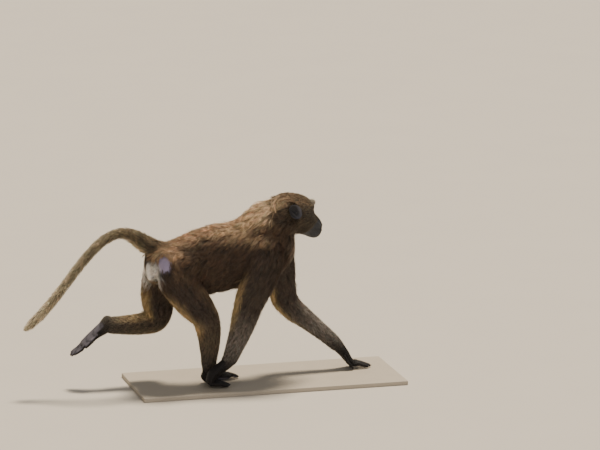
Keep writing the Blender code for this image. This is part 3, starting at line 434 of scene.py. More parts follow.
def fan_of_digits(roots_at, along, across, up, lengths, spread, radius, bend):
    """Four fingers or toes side by side, each with its knuckle a little raised."""
    along, across, up = (np.array(v, dtype=float) for v in (along, across, up))
    forms = []
    middle = (len(lengths) - 1) / 2
    for k, length in enumerate(lengths):
        offset = (k - middle) * spread
        root = np.array(roots_at) + across * offset
        fan = along + across * offset * 2.2
        fan /= np.linalg.norm(fan)
        knuckle = root + fan * length * 0.45 + up * bend
        forms.append(digit(root, knuckle, root + fan * length, radius, up))
    return forms


def right_hand():
    """Right hand, about to leave the ground: palm leaning forward over flat fingers."""
    palm = [
        (0.084, -0.100, 0.096, 0.0200, 0.0225),
        (0.064, -0.101, 0.076, 0.0215, 0.0190),
        (0.040, -0.102, 0.060, 0.0250, 0.0170),
        (0.020, -0.102, 0.044, 0.0270, 0.0155),
        (0.012, -0.102, 0.025, 0.0280, 0.0130),
    ]
    forms = [tube(palm)]
    forms += fan_of_digits((0.010, -0.102, 0.0165), (1, 0, -0.15), (0, 1, 0), (0, 0, 1),
                           (0.058, 0.066, 0.065, 0.055), 0.0140, 0.0062, 0.0030)
    forms.append(digit((0.040, -0.078, 0.055), (0.036, -0.068, 0.032), (0.050, -0.066, 0.010), 0.0050,
                       (0.3, 1, 0.3)))
    return forms


def left_hand():
    """Left hand, just set down ahead: palm sloping into flat fingers."""
    palm = [
        (0.485, 0.039, 0.094, 0.0200, 0.0220),
        (0.502, 0.037, 0.075, 0.0215, 0.0190),
        (0.520, 0.036, 0.053, 0.0250, 0.0160),
        (0.534, 0.035, 0.032, 0.0268, 0.0130),
        (0.549, 0.035, 0.018, 0.0275, 0.0092),
    ]
    forms = [tube(palm)]
    forms += fan_of_digits((0.540, 0.035, 0.0155), (1, 0, -0.14), (0, 1, 0), (0, 0, 1),
                           (0.058, 0.070, 0.069, 0.060), 0.0140, 0.0062, 0.0050)
    forms.append(digit((0.515, 0.013, 0.050), (0.526, 0.003, 0.028), (0.541, 0.000, 0.008), 0.0050,
                       (0.3, -1, 0.3)))
    return forms


def right_foot():
    """Right foot, flat on the ground under the shank."""
    sole = [
        (0.013, -0.044, 0.0218, 0.0165, 0.0203),
        (0.028, -0.036, 0.030, 0.0190, 0.0280),
        (0.048, -0.026, 0.024, 0.0215, 0.0225),
        (0.068, -0.015, 0.018, 0.0245, 0.0165),
        (0.086, -0.006, 0.014, 0.0255, 0.0127),
    ]
    ankle = [
        (0.022, -0.043, 0.080, 0.0180, 0.0215),
        (0.024, -0.041, 0.045, 0.0172, 0.0215),
        (0.026, -0.040, 0.026, 0.0175, 0.0205),
    ]
    forms = [tube(sole), tube(ankle)]
    forms += fan_of_digits((0.085, -0.006, 0.0120), (0.88, 0.47, -0.14), (-0.47, 0.88, 0), (0, 0, 1),
                           (0.040, 0.049, 0.050, 0.044), 0.0135, 0.0061, 0.0060)
    forms.append(digit((0.042, -0.008, 0.012), (0.048, 0.018, 0.011), (0.062, 0.033, 0.006), 0.0066,
                       (0, 0, 1)))
    return forms


# The trailing left foot: the ways that it and its sole point, and where its ankle is.
FOOT_WAY = np.array((-0.824, 0.0, -0.566))
SOLE_WAY = np.array((-0.566, 0.0, 0.824))
ANKLE_AT = np.array((-0.298, 0.062, 0.197))


def left_foot():
    """Left foot, trailing behind with its sole turned up and back."""
    rows = []
    for reach, lift, half, deep in ((0.004, 0.0010, 0.0180, 0.0215), (0.030, 0.0020, 0.0195, 0.0205),
                                    (0.058, 0.0020, 0.0225, 0.0165), (0.084, 0.0010, 0.0252, 0.0132),
                                    (0.106, -0.0010, 0.0258, 0.0108)):
        rows.append((*(ANKLE_AT + FOOT_WAY * reach + SOLE_WAY * (lift + 0.004)), half, deep))
    heel = []
    for reach, lift, half in ((-0.004, 0.0175, 0.0155), (0.018, 0.0120, 0.0165), (0.044, 0.0060, 0.0180)):
        heel.append((*(ANKLE_AT + FOOT_WAY * reach + SOLE_WAY * lift), half, half))
    forms = [tube(rows), tube(heel)]
    shank = [
        (-0.262, 0.063, 0.195, 0.0205, 0.0265),
        (-0.285, 0.0625, 0.197, 0.0185, 0.0245),
        (-0.302, 0.062, 0.199, 0.0180, 0.0215),
    ]
    forms.append(tube(shank))
    roots = ANKLE_AT + FOOT_WAY * 0.106 + SOLE_WAY * 0.002
    forms += fan_of_digits(roots, FOOT_WAY + np.array((0.03, 0, -0.10)), (0, -1, 0), -SOLE_WAY,
                           (0.050, 0.056, 0.054, 0.044), 0.0135, 0.0061, 0.0030)
    thumb = ANKLE_AT + FOOT_WAY * 0.056 + np.array((0, -0.018, 0)) + SOLE_WAY * 0.002
    forms.append(digit(thumb, thumb + FOOT_WAY * 0.028 + np.array((0, -0.009, 0)) - SOLE_WAY * 0.001,
                       thumb + FOOT_WAY * 0.050 + np.array((0, -0.013, 0)) - SOLE_WAY * 0.004, 0.0070,
                       -SOLE_WAY))
    return forms


def muzzle_half(x, z):
    """Half width of the head at a height, from its slices."""
    rows = smooth_rows(HEAD, 4)
    top, bottom, half = (np.interp(x, rows[:, 0], rows[:, k]) for k in (1, 2, 3))
    share = (z - 0.5 * (top + bottom)) / (0.5 * (top - bottom))
    return half * math.sqrt(max(1 - share ** 2, 0.0))


def mouth_height(x):
    """Height of the mouth's line at a place along the head, a little curved up at its corner."""
    share = (x - MOUTH_CORNER[0]) / (MOUTH_FRONT[0] - MOUTH_CORNER[0])
    return MOUTH_CORNER[1] + share * (MOUTH_FRONT[1] - MOUTH_CORNER[1]) - 0.002 * math.sin(math.pi * share)


def lip(lift, tall, thick):
    """One lip, from corner to corner round the front of the muzzle."""
    rows = []
    for x in np.linspace(MOUTH_CORNER[0], MOUTH_FRONT[0] - 0.003, 8):
        z = mouth_height(x) + lift
        rise = math.sin(0.5 * math.pi * min((x - MOUTH_CORNER[0] + 0.006) / 0.022, 1.0))
        rows.append((x, -(muzzle_half(x, z) - 0.0014), z, tall * rise, thick * rise))
    rows.append((MOUTH_FRONT[0] - 0.0020, 0.0, mouth_height(MOUTH_FRONT[0]) + lift, tall, thick))
    for row in reversed(rows[:-1]):
        rows.append((row[0], -row[1], *row[2:]))
    return tube(rows, count=10, steps=2, side=(0, 0, 1), cap=1)


def eye_turn(side):
    """Way that an eye looks, in the head's own frame."""
    return Matrix.Rotation(side * EYE_TOE, 4, "Z")


def lids(side):
    """Both lids of one eye, as a ring round an almond opening that lies close on the eyeball."""
    rings = []
    for a in np.linspace(0, 2 * math.pi, 36, endpoint=False):
        tall = 4.7 * MM if math.sin(a) > 0 else 3.9 * MM
        edge = (abs(math.cos(a) / (8.4 * MM)) ** 1.5 + abs(math.sin(a) / tall) ** 1.5) ** (-1 / 1.5)
        section = []
        for reach, out in ((edge, 0.7), (7.6 * MM, 0.7), (11.5 * MM, 0.0), (12.0 * MM, 1.6), (8.0 * MM, 2.6),
                           (edge + 0.9 * MM, 2.4), (edge + 0.1 * MM, 1.7)):
            shell = EYE_RADIUS + out * MM
            near = min(reach, 0.93 * shell)
            deep = math.sqrt(shell ** 2 - near ** 2) - 1.5 * (reach - near)
            section.append((deep, reach * math.cos(a), reach * math.sin(a)))
        rings.append(section)
    count = len(rings[0])
    vertices = np.array(rings).reshape(-1, 3)
    faces = []
    for r in range(len(rings)):
        n = (r + 1) % len(rings)
        for k in range(count):
            m = (k + 1) % count
            faces.append((r * count + k, r * count + m, n * count + m, n * count + k))
    at = Matrix.Translation((EYE_AT[0], side * EYE_AT[1], EYE_AT[2]))
    return placed((vertices, faces), at @ eye_turn(side))


def ear_object(side, name):
    """One ear with the stalk that sinks into the head, in one piece."""
    stalk = [
        (-0.020, side * 0.030, 0.006, 0.0125, 0.0170),
        (-0.026, side * 0.037, 0.010, 0.0110, 0.0160),
        (-0.030, side * 0.043, 0.013, 0.0090, 0.0150),
    ]
    forms = [ear_leaf(side), tube(stalk, count=18, side=(1, 0, 0))]
    grain, rounds, triangles = EAR_SKIN
    whole = fused(name, [placed(form, HEAD_FRAME) for form in forms], grain, rounds)
    return thinned(largest(whole), triangles)


def ear_leaf(side):
    """One ear: a rounded leaf with a rolled rim and a folded inner ridge, hollow inside."""
    rows, cols = 24, 22
    front = np.zeros((rows, cols, 3))
    back = np.zeros((rows, cols, 3))
    for r in range(rows):
        t = 0.5 - 0.5 * math.cos(math.pi * r / (rows - 1))
        half = 0.5 * EAR_WIDTH * math.sin(math.pi * (0.025 + 0.93 * t)) ** 0.62
        high = EAR_HEIGHT * (t - 0.5)
        for c in range(cols):
            s = 2 * c / (cols - 1) - 1
            edge = max(abs(s), abs(2 * t - 1)) ** 8
            bowl = (1 - s * s) ** 0.8 * math.sin(math.pi * min(0.06 + 0.90 * t, 0.98)) ** 0.7
            fold = 4.4 * MM * math.exp(-((s + 0.40) / 0.17) ** 2) * math.sin(math.pi * t) ** 2
            fold += 4.0 * MM * math.exp(-((s - 0.78) / 0.20) ** 2 - ((t - 0.36) / 0.12) ** 2)
            middle = -EAR_CUP * bowl + 2.4 * MM * edge
            thick = 0.5 * EAR_THICKNESS * (1 - 0.25 * edge)
            front[r, c] = (half * s, middle + thick + fold, high)
            back[r, c] = (half * s, middle - thick, high)
    vertices = np.vstack([front.reshape(-1, 3), back.reshape(-1, 3)])
    total = rows * cols
    faces = []
    for r in range(rows - 1):
        for c in range(cols - 1):
            a = r * cols + c
            faces.append((a, a + 1, a + cols + 1, a + cols))
            faces.append((total + a, total + a + cols, total + a + cols + 1, total + a + 1))
    edge = list(range(cols)) + [r * cols + cols - 1 for r in range(1, rows)]
    edge += [(rows - 1) * cols + c for c in range(cols - 2, -1, -1)]
    edge += [r * cols for r in range(rows - 2, 0, -1)]
    for i, a in enumerate(edge):
        b = edge[(i + 1) % len(edge)]
        faces.append((a, total + a, total + b, b))
    vertices[:, 1] *= side
    lean = Matrix.Rotation(-side * EAR_FLARE, 4, "Z") @ Matrix.Rotation(EAR_LEAN, 4, "Y")
    place = Matrix.Translation((EAR_AT[0], side * EAR_AT[1], EAR_AT[2]))
    return placed((vertices, faces), place @ lean)


def head_core():
    """Skull, brow, cheeks and the ridges of the muzzle, run into each other."""
    reach = np.array([row[0] for row in HEAD])
    sink = HEAD_COAT * (1 - blend_rise(reach, -0.02, 0.078))
    forms = [slices(HEAD, sink, 0.45 * blend_rise(reach, 0.075, 0.11))]
    brow = []
    for t in np.linspace(-1, 1, 15):
        drop_off = max(abs(t) - 0.72, 0.0) / 0.28
        brow.append((0.0762 - 0.0170 * abs(t) ** 2.2, 0.0365 * t,
                     0.0395 + 0.0035 * math.sin(math.pi * min(abs(t) / 0.9, 1.0)) - 0.0090 * drop_off,
                     0.0078 - 0.0012 * abs(t), 0.0074))
    forms.append(tube(brow, count=16, steps=2, side=(1, 0, 0)))
    for side in (-1, 1):
        cheek = [
            (0.010, side * 0.0265, -0.014, 0.016, 0.022),
            (0.045, side * 0.0300, -0.006, 0.0140, 0.017),
            (0.064, side * 0.0290, 0.004, 0.0100, 0.012),
            (0.074, side * 0.0240, 0.007, 0.0072, 0.009),
            (0.082, side * 0.0170, 0.004, 0.0055, 0.007),
        ]
        forms.append(tube(cheek, count=18))
        ridge = [
            (0.076, side * 0.0125, 0.0120, 0.0062, 0.0062),
            (0.100, side * 0.0140, -0.0035, 0.0088, 0.0080),
            (0.122, side * 0.0125, -0.0160, 0.0085, 0.0080),
            (0.137, side * 0.0092, -0.0265, 0.0070, 0.0074),
        ]
        forms.append(tube(ridge, count=16))
        flank = [
            (0.088, side * 0.0215, -0.020, 0.0080, 0.0140),
            (0.112, side * 0.0195, -0.031, 0.0078, 0.0130),
            (0.134, side * 0.0155, -0.040, 0.0070, 0.0105),
        ]
        forms.append(tube(flank, count=16))
    forms.append(ball((0.128, 0.0, -0.064), (0.0150, 0.0165, 0.0115)))
    return blended([placed(form, HEAD_FRAME) for form in forms], 2.0 * MM, 7)


def head_details():
    """Wings of the nose, septum, lips and lids, in the animal's frame."""
    forms = []
    for side in (-1, 1):
        wing = [
            (0.1300, side * 0.0075, -0.0215, 0.0042, 0.0040),
            (0.1405, side * 0.0098, -0.0262, 0.0038, 0.0042),
            (0.1442, side * 0.0104, -0.0318, 0.0030, 0.0040),
            (0.1435, side * 0.0080, -0.0375, 0.0028, 0.0032),
            (0.1410, side * 0.0040, -0.0400, 0.0026, 0.0030),
        ]
        forms.append(tube(wing, count=14, side=(0, 1, 0)))
        forms.append(lids(side))
    septum = [
        (0.1320, 0.0, -0.0215, 0.0044, 0.0040),
        (0.1430, 0.0, -0.0262, 0.0036, 0.0036),
        (0.1468, 0.0, -0.0320, 0.0024, 0.0032),
        (0.1455, 0.0, -0.0390, 0.0024, 0.0030),
    ]
    forms.append(tube(septum, count=14, side=(0, 1, 0)))
    forms.append(lip(4.3 * MM, 4.3 * MM, 2.8 * MM))
    forms.append(lip(-4.2 * MM, 4.0 * MM, 2.7 * MM))
    return [placed(form, HEAD_FRAME) for form in forms]


def nostril(side):
    """The hollow of one nostril, a comma that opens forward and outward."""
    rows = [
        (NOSTRIL_AT[0] + 0.0030, side * NOSTRIL_AT[1] * 0.85, NOSTRIL_AT[2] - 0.0006, 0.0020, 0.0030),
        (NOSTRIL_AT[0] - 0.0020, side * NOSTRIL_AT[1], NOSTRIL_AT[2], 0.0017, 0.0026),
        (NOSTRIL_AT[0] - 0.0075, side * NOSTRIL_AT[1] * 0.75, NOSTRIL_AT[2] + 0.0015, 0.0011, 0.0014),
    ]
    return placed(tube(rows, count=14), HEAD_FRAME)


def body_forms():
    """Trunk, neck, tail, limbs and the back of the skull, and the eggs that round them out."""
    trunk_depth = np.full(len(TRUNK), TRUNK_COAT)
    trunk_depth[:2] = TRUNK_END_COAT
    forms = [slices(TRUNK, trunk_depth), tube(NECK, NECK_COAT)]
    tail = np.concatenate([TAIL_ROOT_COAT, np.linspace(*TAIL_COAT, 6),
                           np.full(len(TAIL) - 6 - len(TAIL_ROOT_COAT), TAIL_COAT[1])])
    forms.append(tube(TAIL, tail))
    for rows in (RIGHT_ARM, LEFT_ARM):
        forms.append(tube(rows, np.linspace(*ARM_COAT, len(rows))))
    for rows in (RIGHT_LEG, LEFT_LEG):
        forms.append(tube(rows, np.linspace(*LEG_COAT, len(rows))))
    forms.append(placed(slices(HEAD[:6], HEAD_COAT + 1.2 * MM), HEAD_FRAME))
    for side in (-1, 1):
        for (x, y, z), size in (HAUNCH, SHOULDER):
            forms.append(ball((x, side * y, z), size))
    forms.append(ball(*NAPE))
    return forms


def skin_object():
    """The whole skin in one piece: a plain body, with a finer head and finer hands and feet fused on."""
    grain, rounds, triangles = BODY_SKIN
    skin = thinned(largest(fused("skin", body_forms(), grain, rounds)), triangles)
    grain, rounds, triangles = HEAD_SKIN
    head = thinned(largest(fused("head", [head_core()] + head_details(), grain, rounds)), triangles)
    for side in (-1, 1):
        at = HEAD_FRAME @ Vector((EYE_AT[0], side * EYE_AT[1], EYE_AT[2]))
        socket = EYE_RADIUS + 0.3 * MM
        cut_away(head, mesh_object("socket", *ball(at, (socket, socket, socket), count=40)))
        cut_away(head, mesh_object("nostril", *nostril(side)))
    pieces = [head]
    grain, rounds, triangles = PAW_SKIN
    for paw, limb in ((right_hand, RIGHT_ARM), (left_hand, LEFT_ARM),
                      (right_foot, RIGHT_LEG), (left_foot, LEFT_LEG)):
        forms = paw() + [tube(limb[-3:], np.linspace(*WRIST_COAT, 3))]
        pieces.append(thinned(largest(fused("paw", forms, grain, rounds)), triangles))
    for piece in pieces:
        step = skin.modifiers.new("Boolean", "BOOLEAN")
        step.operation = "UNION"
        step.solver = "MANIFOLD"
        step.object = piece
        settle(skin)
        drop(piece)
    return largest(skin)


def thinned(obj, triangles):
    """Bring an object down to a number of triangles, where it is plain first."""
    have = sum(len(face.vertices) - 2 for face in obj.data.polygons)
    step = obj.modifiers.new("Decimate", "DECIMATE")
    step.ratio = min(1.0, triangles / have)
    step.use_collapse_triangulate = True
    return settle(obj)


def largest(obj):
    """Keep only the largest closed surface of an object."""
    total = len(obj.data.vertices)
    edges = np.empty(len(obj.data.edges) * 2, dtype=np.int64)
    obj.data.edges.foreach_get("vertices", edges)
    a, b = edges[0::2], edges[1::2]
    group = np.arange(total)
    while True:
        low = np.minimum(group[a], group[b])
        fresh = group.copy()
        np.minimum.at(fresh, group[a], low)
        np.minimum.at(fresh, group[b], low)
        fresh = fresh[fresh]
        if np.array_equal(fresh, group):
            break
        group = fresh
    names, sizes = np.unique(group, return_counts=True)
    spare = np.flatnonzero(group != names[np.argmax(sizes)])
    if len(spare):
        work = bmesh.new()
        work.from_mesh(obj.data)
        work.verts.ensure_lookup_table()
        bmesh.ops.delete(work, geom=[work.verts[i] for i in spare], context="VERTS")
        work.to_mesh(obj.data)
        work.free()
    return obj


# Hair of each part, by its share along the part: length, depth and width of a tuft in millimetres,
# tufts to a square centimetre.
HAIR = {
    "trunk": ((0.00, 28, 5.0, 1.6, 16), (0.10, 34, 9.0, 1.7, 15), (0.35, 42, 11.0, 1.8, 14),
              (0.70, 50, 11.5, 1.9, 13), (1.00, 40, 11.0, 1.8, 14)),
    "neck": ((0.00, 52, 12.5, 1.9, 14), (1.00, 42, 12.0, 1.7, 15)),
    "tail": ((0.00, 30, 9.0, 1.5, 20), (0.25, 22, 9.0, 1.3, 24), (0.50, 18, 8.0, 1.0, 32),
             (0.80, 20, 9.0, 1.0, 32), (0.95, 24, 11.0, 1.1, 32), (1.00, 28, 9.0, 1.2, 40)),
    "arm": ((0.00, 40, 10.5, 1.7, 15), (0.30, 34, 8.5, 1.5, 18), (0.55, 25, 6.5, 1.3, 21),
            (0.80, 17, 4.5, 1.1, 26), (1.00, 10, 3.0, 0.9, 30)),
    "leg": ((0.00, 36, 10.5, 1.7, 15), (0.30, 30, 8.5, 1.5, 18), (0.55, 20, 6.5, 1.2, 23),
            (0.80, 14, 4.5, 1.0, 28), (1.00, 9, 3.0, 0.9, 30)),
    "head": ((0.00, 38, 9.0, 1.5, 18), (0.50, 25, 9.0, 1.2, 22), (1.00, 22, 6.0, 1.0, 24)),
}

# Colours of the coat by share along each part: towards the sky, on the flank, underneath. The tone towards
# the sky is partly the paler back and partly painted sunlight, the flank tone partly the darker flank and
# partly painted shade, and the tail's root is darker as painted shade.
COLOURS = {
    "trunk": ((0.00, "#DEB888", "#5C4733", "#8A7355"), (0.35, "#C6A076", "#58432F", "#6A5742"),
              (0.65, "#C8A478", "#4A3728", "#4C3C2E"), (0.88, "#B8946A", "#443325", "#6A5A48"),
              (1.00, "#DEB888", "#9C8872", "#B09C84")),
    "neck": ((0.00, "#E6C292", "#644A33", "#7C6C5A"), (1.00, "#C49C70", "#5C4630", "#584C3E")),
    "tail": ((0.00, "#5C4B34", "#43372A", "#C8AE84"), (0.30, "#A8946E", "#80704F", "#8E7A5A"),
             (0.70, "#E2D0A8", "#C4B28C", "#A89874"), (1.00, "#F0DEB8", "#E0CCA2", "#CBB88E")),
    "arm": ((0.00, "#4A392B", "#3E3024", "#5C4A38"), (0.45, "#7E6E5E", "#53473C", "#766A58"),
            (0.75, "#A2998C", "#8A8177", "#827868"), (1.00, "#6E665C", "#5A524A", "#4C443E")),
    "leg": ((0.00, "#7C6242", "#443325", "#8A7050"), (0.35, "#6E5A40", "#42342A", "#A08860"),
            (0.70, "#C8AC78", "#70604A", "#8A785C"), (1.00, "#746A5A", "#645A4C", "#564E44")),
    "head": ((0.00, "#9C7E5C", "#5A4A38", "#4A3E32"), (0.45, "#7C6C50", "#5A4F3C", "#584C3E"),
             (0.80, "#9C8A66", "#5C503C", "#584C3E"), (1.00, "#C0AC86", "#5A4E42", "#4A4036")),
}
# How far the surface of each part has to face up before its hair takes the tone of the top, with its painted
# sunlight.
SUNLIT_TOP_FROM = {"trunk": 0.36, "neck": 0.25, "tail": 0.12, "arm": 0.12, "leg": 0.12, "head": 0.12}
# Share of grey in every hair, which takes the orange out of the browns.
COAT_GREY = 0.16

# Tones of the hair on the rear edges of the limbs, where the gold is a painted backlight glow, on the nape,
# under the tail's root and on the brow, then of the bare hide and of the short hair on hands and feet.
REAR_BACKLIT_GLOW = "#D0B072"
# The nape's pale gold is partly the mane's own colour and partly painted sunlight.
NAPE_GOLD_AND_SUNLIT_TONE = "#FADCAC"
FRINGE_TONE = "#E6D2AC"
# The brow's top edge is partly pale hair and partly a painted rim highlight.
BROW_PALE_AND_RIM_LIT_TONE = "#F2E8CE"
FACE_TONE = "#2A2D34"
NOSE_TONE = "#12151B"
EAR_TONE = "#585860"
# The ear's bowl darkens inwards as painted shade.
EAR_HOLLOW_SHADE_TONE = "#26262B"
HAND_TONE = "#221F1F"
PAW_HAIR_TONE = "#241F1C"
SOLE_TONE = "#66626A"
RUMP_TONE = "#A197B4"
# The rim round the seat pads is pale in its own right and made paler still as painted sunlight.
PAD_RIM_PALE_AND_SUNLIT_TONE = "#F4EEE8"
# A painted shadow in the fold between the rump's swelling and the seat pad.
FOLD_SHADOW_TONE = "#1C1819"
# Tone of the skin between the hairs, as a share of theirs.
UNDERCOAT_SHARE = 0.42

# Share of the tables' tufts that is grown, their breadth, and the length from which a tuft bends twice.
COAT_SHARE = 0.86
TUFT_BREADTH = 0.86
LONG_HAIR = 30 * MM
# Share of the tufts that stray out of their lock, breadth of a tuft's patch on the OFBake map, and
# the most triangles in one piece of the coat.
STRAY_SHARE = 0.07
TUFT_PATCH = 0.003
PIECE_TRIANGLES = 190000

# Each hand and foot, from the end of its limb on: middle and half widths, then the ways that its
# palm and its fingers or toes face on their bare side.
RIGHT_HAND = [
    (0.064, -0.101, 0.076, 0.0200, 0.0155),
    (0.040, -0.102, 0.060, 0.0240, 0.0130),
    (0.019, -0.102, 0.044, 0.0265, 0.0120),
    (0.010, -0.102, 0.025, 0.0275, 0.0112),
    (0.030, -0.102, 0.013, 0.0280, 0.0080),
    (0.072, -0.102, 0.009, 0.0300, 0.0080),
]
LEFT_HAND = [
    (0.502, 0.037, 0.075, 0.0200, 0.0155),
    (0.520, 0.036, 0.053, 0.0240, 0.0125),
    (0.534, 0.035, 0.031, 0.0262, 0.0100),
    (0.549, 0.035, 0.018, 0.0272, 0.0085),
    (0.580, 0.035, 0.011, 0.0300, 0.0080),
    (0.614, 0.035, 0.008, 0.0300, 0.0070),
]
RIGHT_FOOT = [
    (0.024, -0.041, 0.045, 0.0175, 0.0215),
    (0.040, -0.030, 0.026, 0.0200, 0.0200),
    (0.062, -0.018, 0.019, 0.0235, 0.0175),
    (0.086, -0.006, 0.014, 0.0255, 0.0127),
    (0.108, 0.006, 0.011, 0.0270, 0.0090),
    (0.130, 0.018, 0.008, 0.0280, 0.0070),
]
LEFT_FOOT = [(*(ANKLE_AT + FOOT_WAY * reach + SOLE_WAY * 0.004), half, deep) for reach, half, deep in (
    (0.030, 0.0195, 0.0205), (0.058, 0.0225, 0.0165), (0.084, 0.0252, 0.0132), (0.106, 0.0258, 0.0108),
    (0.130, 0.0270, 0.0080), (0.156, 0.0270, 0.0070))]
# Ways that the bare side faces on each hand and foot, by its limb's number in AXES: the palm or sole,
# then the fingers or toes.
BARE_SIDES = {
    3: ((-0.60, 0.0, 0.80), (0.0, 0.0, -1.0)),
    4: ((-0.77, 0.0, -0.63), (0.0, 0.0, -1.0)),
    5: ((0.0, 0.0, -1.0), (0.0, 0.0, -1.0)),
    6: ((-0.566, 0.0, 0.824), (-0.566, 0.0, 0.824)),
}
# Share along a limb, which ends at 1, where its hand or foot turns into fingers or toes.
KNUCKLES = 1.36
# The limbs in AXES whose bare side is a creased, greyer sole.
FEET = (5, 6)

# The fur stands highest on the nape, round this reach and height, by this many millimetres more.
NAPE_AT = (0.252, 0.592)
NAPE_LIFT = 11.0
# The muzzle is bare beyond this reach along the head at its top, and further back the lower it gets.
MUZZLE_BARE_AT = 0.114
MUZZLE_BARE_SLANT = 1.15
# Middles and half sizes of the bare lilac hide on each side of the rump, of the painted shadow in the bare
# fold beside the tail's root and of the pale rim round the seat pads.
RUMP_AT = (-0.132, 0.062, 0.428)
RUMP_SIZE = (0.030, 0.036, 0.042)
FOLD_SHADOW_AT = (-0.166, 0.030, 0.437)
FOLD_SHADOW_SIZE = (0.016, 0.016, 0.011)
PAD_RIM_AT = (-0.170, 0.038, 0.392)
PAD_RIM_SIZE = (0.027, 0.040, 0.043)


def linear(code):
    """A hex colour as the linear values that the shaders take."""
    values = np.array([int(code[i:i + 2], 16) / 255 for i in (1, 3, 5)])
    return np.where(values <= 0.04045, values / 12.92, ((values + 0.055) / 1.055) ** 2.4)


def axis_of(rows, beyond=(), frame_of=None):
    """A part's axis as places, headings, mean radii and shares along it; a hand or foot goes on past 1."""
    fine = smooth_rows(list(rows) + list(beyond), 5)
    middles, radii = fine[:, :3], fine[:, 3:5].mean(axis=1)
    if frame_of is not None:
        matrix = np.array(frame_of)
        middles = middles @ matrix[:3, :3].T + matrix[:3, 3]
    heading = unit(np.gradient(middles, axis=0))
    end = 5 * (len(rows) - 1)
    share = np.interp(np.arange(len(fine)), (0, end, max(len(fine) - 1, end + 1)), (0, 1, 1.5))
    return middles, heading, radii, share


def across(rows):
    """Upright slices turned into rows of middles and half sizes."""
    return [(x, 0.0, 0.5 * (top + bottom), half, 0.5 * (top - bottom)) for x, top, bottom, half in rows]


def unit(vectors):
    """Vectors brought to length one."""
    return vectors / np.maximum(np.linalg.norm(vectors, axis=1), 1e-9)[:, None]


AXES = (
    ("trunk", axis_of(across(TRUNK))),
    ("neck", axis_of(NECK)),
    ("tail", axis_of(TAIL)),
    ("arm", axis_of(RIGHT_ARM, RIGHT_HAND)),
    ("arm", axis_of(LEFT_ARM, LEFT_HAND)),
    ("leg", axis_of(RIGHT_LEG, RIGHT_FOOT)),
    ("leg", axis_of(LEFT_LEG, LEFT_FOOT)),
    ("head", axis_of(across(HEAD), frame_of=HEAD_FRAME)),
)
# Numbers in AXES of the parts that have hair or markings of their own.
TRUNK_PART, NECK_PART, TAIL_PART, HEAD_PART = 0, 1, 2, 7


def shares_of_parts(points):
    """How much each point belongs to each part, with its share along and the heading of the part."""
    near = []
    shares = []
    headings = []
    for kind, (middles, heading, radii, share) in AXES:
        apart = (points ** 2).sum(1)[:, None] + (middles ** 2).sum(1)[None] - 2 * points @ middles.T
        apart = np.sqrt(np.maximum(apart, 0)) / radii[None]
        pick = apart.argmin(1)
        near.append(apart[np.arange(len(points)), pick])
        shares.append(share[pick])
        headings.append(heading[pick])
    weight = np.exp(-9.0 * (np.array(near).T - np.min(near, axis=0)[:, None]))
    return weight / weight.sum(1)[:, None], np.array(shares).T, np.array(headings).transpose(1, 0, 2)


def in_head(points):
    """Points in the head's own frame."""
    matrix = np.array(HEAD_FRAME.inverted())
    return points @ matrix[:3, :3].T + matrix[:3, 3]


def past_ear(local):
    """How far outside the nearer ear's outline a point lies, seen from the side, in metres."""
    x, z = local[:, 0] - EAR_AT[0], local[:, 2] - EAR_AT[2]
    across_ear = x * math.cos(EAR_LEAN) - z * math.sin(EAR_LEAN)
    up_ear = x * math.sin(EAR_LEAN) + z * math.cos(EAR_LEAN)
    reach = np.hypot(across_ear / (0.5 * EAR_WIDTH), up_ear / (0.5 * EAR_HEIGHT))
    return (reach - 1) * 0.25 * (EAR_WIDTH + EAR_HEIGHT)


def within(points, at, size, low, high):
    """1 inside an egg and 0 outside it, for it and its mirror image."""
    inside = np.zeros(len(points))
    for side in (-1, 1):
        reach = np.linalg.norm((points - np.array(at) * (1, side, 1)) / np.array(size), axis=1)
        inside = np.maximum(inside, 1 - blend_rise(reach, low, high))
    return inside


def paw_sides(k, normals, share):
    """How much of a hand's or foot's surface is its bare side, and how much is past its knuckles."""
    palm, fingers = (np.array(v) for v in BARE_SIDES[k])
    past = blend_rise(share, KNUCKLES - 0.04, KNUCKLES + 0.04)
    face = palm[None] * (1 - past[:, None]) + fingers[None] * past[:, None]
    bare_side = blend_rise((normals * unit(face)).sum(1), 0.10, 0.45) * blend_rise(share, 1.0, 1.06)
    return bare_side, past


def bareness(points, normals, weight, share):
    """How bare the skin is: 0 under the coat, 1 where no hair grows."""
    local = in_head(points)
    x, y, z = local.T
    uneven = 2.0 * MM * np.sin(z * 900) * np.sin(y * 700 + 1.0)
    bare = blend_rise(x - MUZZLE_BARE_AT - MUZZLE_BARE_SLANT * (z + 0.010) + uneven, -0.008, 0.008)
    bare = np.where(weight[:, HEAD_PART] > 0.3, bare, 0.0)
    # Round each eye, a little less far above it than below.
    squeeze = np.where(local[:, 2:] > EYE_AT[2], EYE_AT[2] + (local[:, 2:] - EYE_AT[2]) * 1.5, local[:, 2:])
    bare = np.maximum(bare, within(np.hstack([local[:, :2], squeeze]), EYE_AT, (1, 1, 1), 0.0120, 0.0175))
    # The edges of the bare patches wander a little.
    ragged = points + 2.5 * MM * np.sin(points[:, (2, 0, 1)] * 620 + np.array((0.0, 2.0, 4.0)))
    bare = np.maximum(bare, within(ragged, RUMP_AT, RUMP_SIZE, 0.62, 1.12))
    bare = np.maximum(bare, 0.72 * within(ragged, PAD_RIM_AT, PAD_RIM_SIZE, 0.70, 1.25))
    bare = np.maximum(bare, within(ragged, FOLD_SHADOW_AT, FOLD_SHADOW_SIZE, 0.80, 1.20))
    for k in BARE_SIDES:
        bare_side, past = paw_sides(k, normals, share[:, k])
        bare = np.maximum(bare, weight[:, k] * np.maximum(bare_side, 0.75 * past))
    return np.clip(bare, 0, 1)


